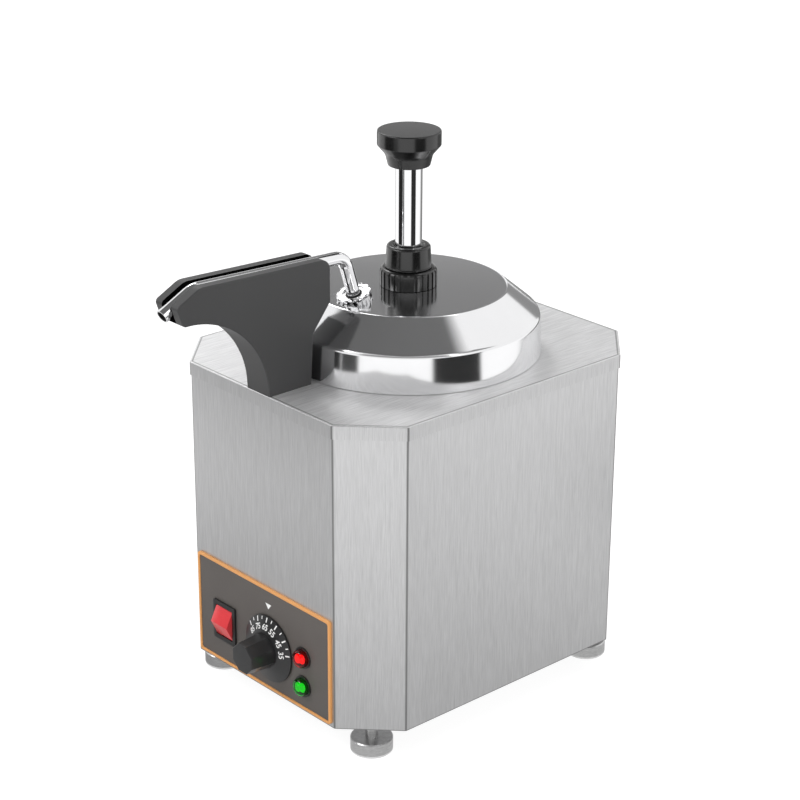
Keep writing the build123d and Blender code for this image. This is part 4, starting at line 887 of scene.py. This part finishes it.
# white figures and marks on the dial's sloping skirt
dial = {
    "centre": (8.5, 64.5), "rim": 27.7, "hub": 15.0, "rimFace": 151.8, "rise": 4.0, "figureTall": 4.6,
    "figureRadius": 19.1, "markFrom": 22.9, "markTo": 27.0, "shortFrom": 24.4,
    "markWide": 1.15, "shortWide": 0.85,
    "proud": 0.07, "markCorner": 0.25, "capShare": 0.7, "bold": 0.10,
    "figures": {"35": 7.6, "45": 35.0, "55": 64.6, "65": 90.4, "75": 116.7, "85": 144.0},
}
skirtSlope = math.atan2(dial["rise"], dial["rim"] - dial["hub"])


def onSkirt(radius, degrees):
    # the frame of a place on the skirt: x runs round it, y outwards and z off the surface
    turn = math.radians(degrees)
    outward = Vector((math.cos(turn), 0, math.sin(turn)))
    forward = Vector((0, -1, 0))
    rise = (dial["rim"] - radius) * math.tan(skirtSlope)
    origin = Vector((dial["centre"][0], -(dial["rimFace"] + rise), dial["centre"][1])) + outward * radius
    up = (outward * math.cos(skirtSlope) - forward * math.sin(skirtSlope)).normalized()
    off = (outward * math.sin(skirtSlope) + forward * math.cos(skirtSlope)).normalized()
    around = up.cross(off)
    return Matrix.Translation(origin * mm) @ Matrix((around, up, off)).transposed().to_4x4()


def mark(length, width, deep):
    # a short bar with rounded corners, lying on its back
    bpy.ops.object.select_all(action="DESELECT")
    bpy.ops.mesh.primitive_plane_add(size=1)
    bar = bpy.context.object
    bar.scale = (width * mm, length * mm, 1)
    bpy.ops.object.transform_apply(location=False, rotation=False, scale=True)
    edit(bar, "VERT")
    bpy.ops.mesh.select_all(action="SELECT")
    bpy.ops.mesh.bevel(offset=width * dial["markCorner"] * mm, segments=2, affect="VERTICES")
    bpy.ops.mesh.select_all(action="SELECT")
    bpy.ops.mesh.extrude_region_move(TRANSFORM_OT_translate={"value": (0, 0, deep * mm)})
    bpy.ops.mesh.select_all(action="SELECT")
    bpy.ops.mesh.normals_make_consistent(inside=False)
    bpy.ops.object.mode_set(mode="OBJECT")
    return bar


def joined(group, name, body, slotName, finish):
    # several meshes made one piece
    bpy.ops.object.select_all(action="DESELECT")
    for item in group:
        item.select_set(True)
    bpy.context.view_layer.objects.active = group[0]
    bpy.ops.object.join()
    piece = bpy.context.object
    settle(piece, 20)
    return finished(piece, name, body, slotName, finish)


marks = []
angles = list(dial["figures"].values())
between = [(a + b) / 2 for a, b in zip(angles, angles[1:])]
longMarks = (angles, dial["markFrom"], dial["markWide"])
shortMarks = (between, dial["shortFrom"], dial["shortWide"])
for group, inner, width in (longMarks, shortMarks):
    for degrees in group:
        bar = mark(dial["markTo"] - inner, width, dial["proud"] * 2)
        lift = Matrix.Translation((0, 0, -dial["proud"] * mm))
        bar.matrix_world = onSkirt((inner + dial["markTo"]) / 2, degrees) @ lift
        marks.append(bar)
joined(marks, "dial_marks", "dial", "white_plastic", whitePrint)
figures = []
for text, degrees in dial["figures"].items():
    bpy.ops.object.select_all(action="DESELECT")
    bpy.ops.object.text_add()
    figure = bpy.context.object
    figure.data.body = text
    figure.data.size = dial["figureTall"] * mm / dial["capShare"]
    figure.data.align_x = "CENTER"
    figure.data.align_y = "CENTER"
    figure.data.extrude = dial["proud"] * mm
    figure.data.offset = dial["bold"] * mm
    figure.data.resolution_u = 4
    bpy.ops.object.convert(target="MESH")
    figure = bpy.context.object
    figure.matrix_world = onSkirt(dial["figureRadius"], degrees)
    figures.append(figure)
joined(figures, "dial_figures", "dial", "white_plastic", whitePrint)

# the pointer mark printed on the panel above the dial
pointer = {"tip": (7.6, 97.6), "top": 102.2, "halfWide": 3.6, "face": 150.1, "proud": 0.06}
bpy.ops.object.select_all(action="DESELECT")
bpy.ops.mesh.primitive_circle_add(vertices=3, radius=0.01, fill_type="NGON")
arrow = bpy.context.object
tall = pointer["top"] - pointer["tip"][1]
corners = [(0, -tall), (pointer["halfWide"], 0), (-pointer["halfWide"], 0)]
for corner, (x, z) in zip(arrow.data.vertices, corners):
    corner.co = Vector((x, 0, z)) * mm
edit(arrow, "FACE")
bpy.ops.mesh.select_all(action="SELECT")
bpy.ops.mesh.extrude_region_move(TRANSFORM_OT_translate={"value": (0, -2 * pointer["proud"] * mm, 0)})
bpy.ops.mesh.select_all(action="SELECT")
bpy.ops.mesh.normals_make_consistent(inside=False)
bpy.ops.object.mode_set(mode="OBJECT")
arrow.location = Vector((pointer["tip"][0], -(pointer["face"] - pointer["proud"]), pointer["top"])) * mm
settle(arrow, 20)
finished(arrow, "pointer_mark", "cabinet", "white_plastic", whitePrint)

# the indicator lamps: a clear coloured dome over a two-lobed light
indicator = {
    "x": 49.5, "face": 151.3, "radius": 7.3, "rise": 5.4, "edge": 3.2, "wall": 0.9,
    "lobe": 3.1, "apart": 2.3, "deep": 1.6,
    "ahead": 2.1, "stagger": 0.5, "taller": 0.9, "voxel": 0.25, "red": 72.8, "green": 48.2,
}


def forwardTurned(profile, x, z, distance):
    # a turned piece whose axis points at the user
    piece = turnedShell(profile, 64)
    piece.rotation_euler = (math.radians(90), 0, 0)
    piece.location = (x * mm, -distance * mm, z * mm)
    settle(piece, 40)
    return piece


for colour, lens, glow in (("red", lensRed, glowRed), ("green", lensGreen, glowGreen)):
    r, h, w = indicator["radius"], indicator["rise"], indicator["wall"]
    points = [(r - w, 0), (r, 0), (r, h), (0, h), (0, h - w), (r - w, h - w)]
    profile = rounded(points, {2: indicator["edge"], 5: indicator["edge"] - w}, 10)
    shell = forwardTurned(profile, indicator["x"], indicator[colour], indicator["face"])
    finished(shell, colour + "_dome", "cabinet", "lens_" + colour, lens, (colour + "_lens",))
    lobes = []
    for side in (-1, 1):
        bpy.ops.object.select_all(action="DESELECT")
        bpy.ops.mesh.primitive_uv_sphere_add(
            segments=24, ring_count=16, radius=1,
            location=(
                (indicator["x"] + side * indicator["apart"]) * mm,
                -(indicator["face"] + indicator["ahead"]) * mm,
                (indicator[colour] + side * indicator["stagger"]) * mm,
            ),
        )
        lobe = bpy.context.object
        tall = indicator["lobe"] + indicator["taller"]
        lobe.scale = (indicator["lobe"] * mm, indicator["deep"] * mm, tall * mm)
        lobes.append(lobe)
    light = joined(lobes, colour + "_light", "cabinet", "lens_" + colour, glow)
    modify(light, "REMESH", mode="VOXEL", voxel_size=indicator["voxel"] * mm)
    modify(light, "SMOOTH", factor=0.6, iterations=6)
    wear(light, glow)
    settle(light, 60)
print("the dial's figures and the lamps are made")
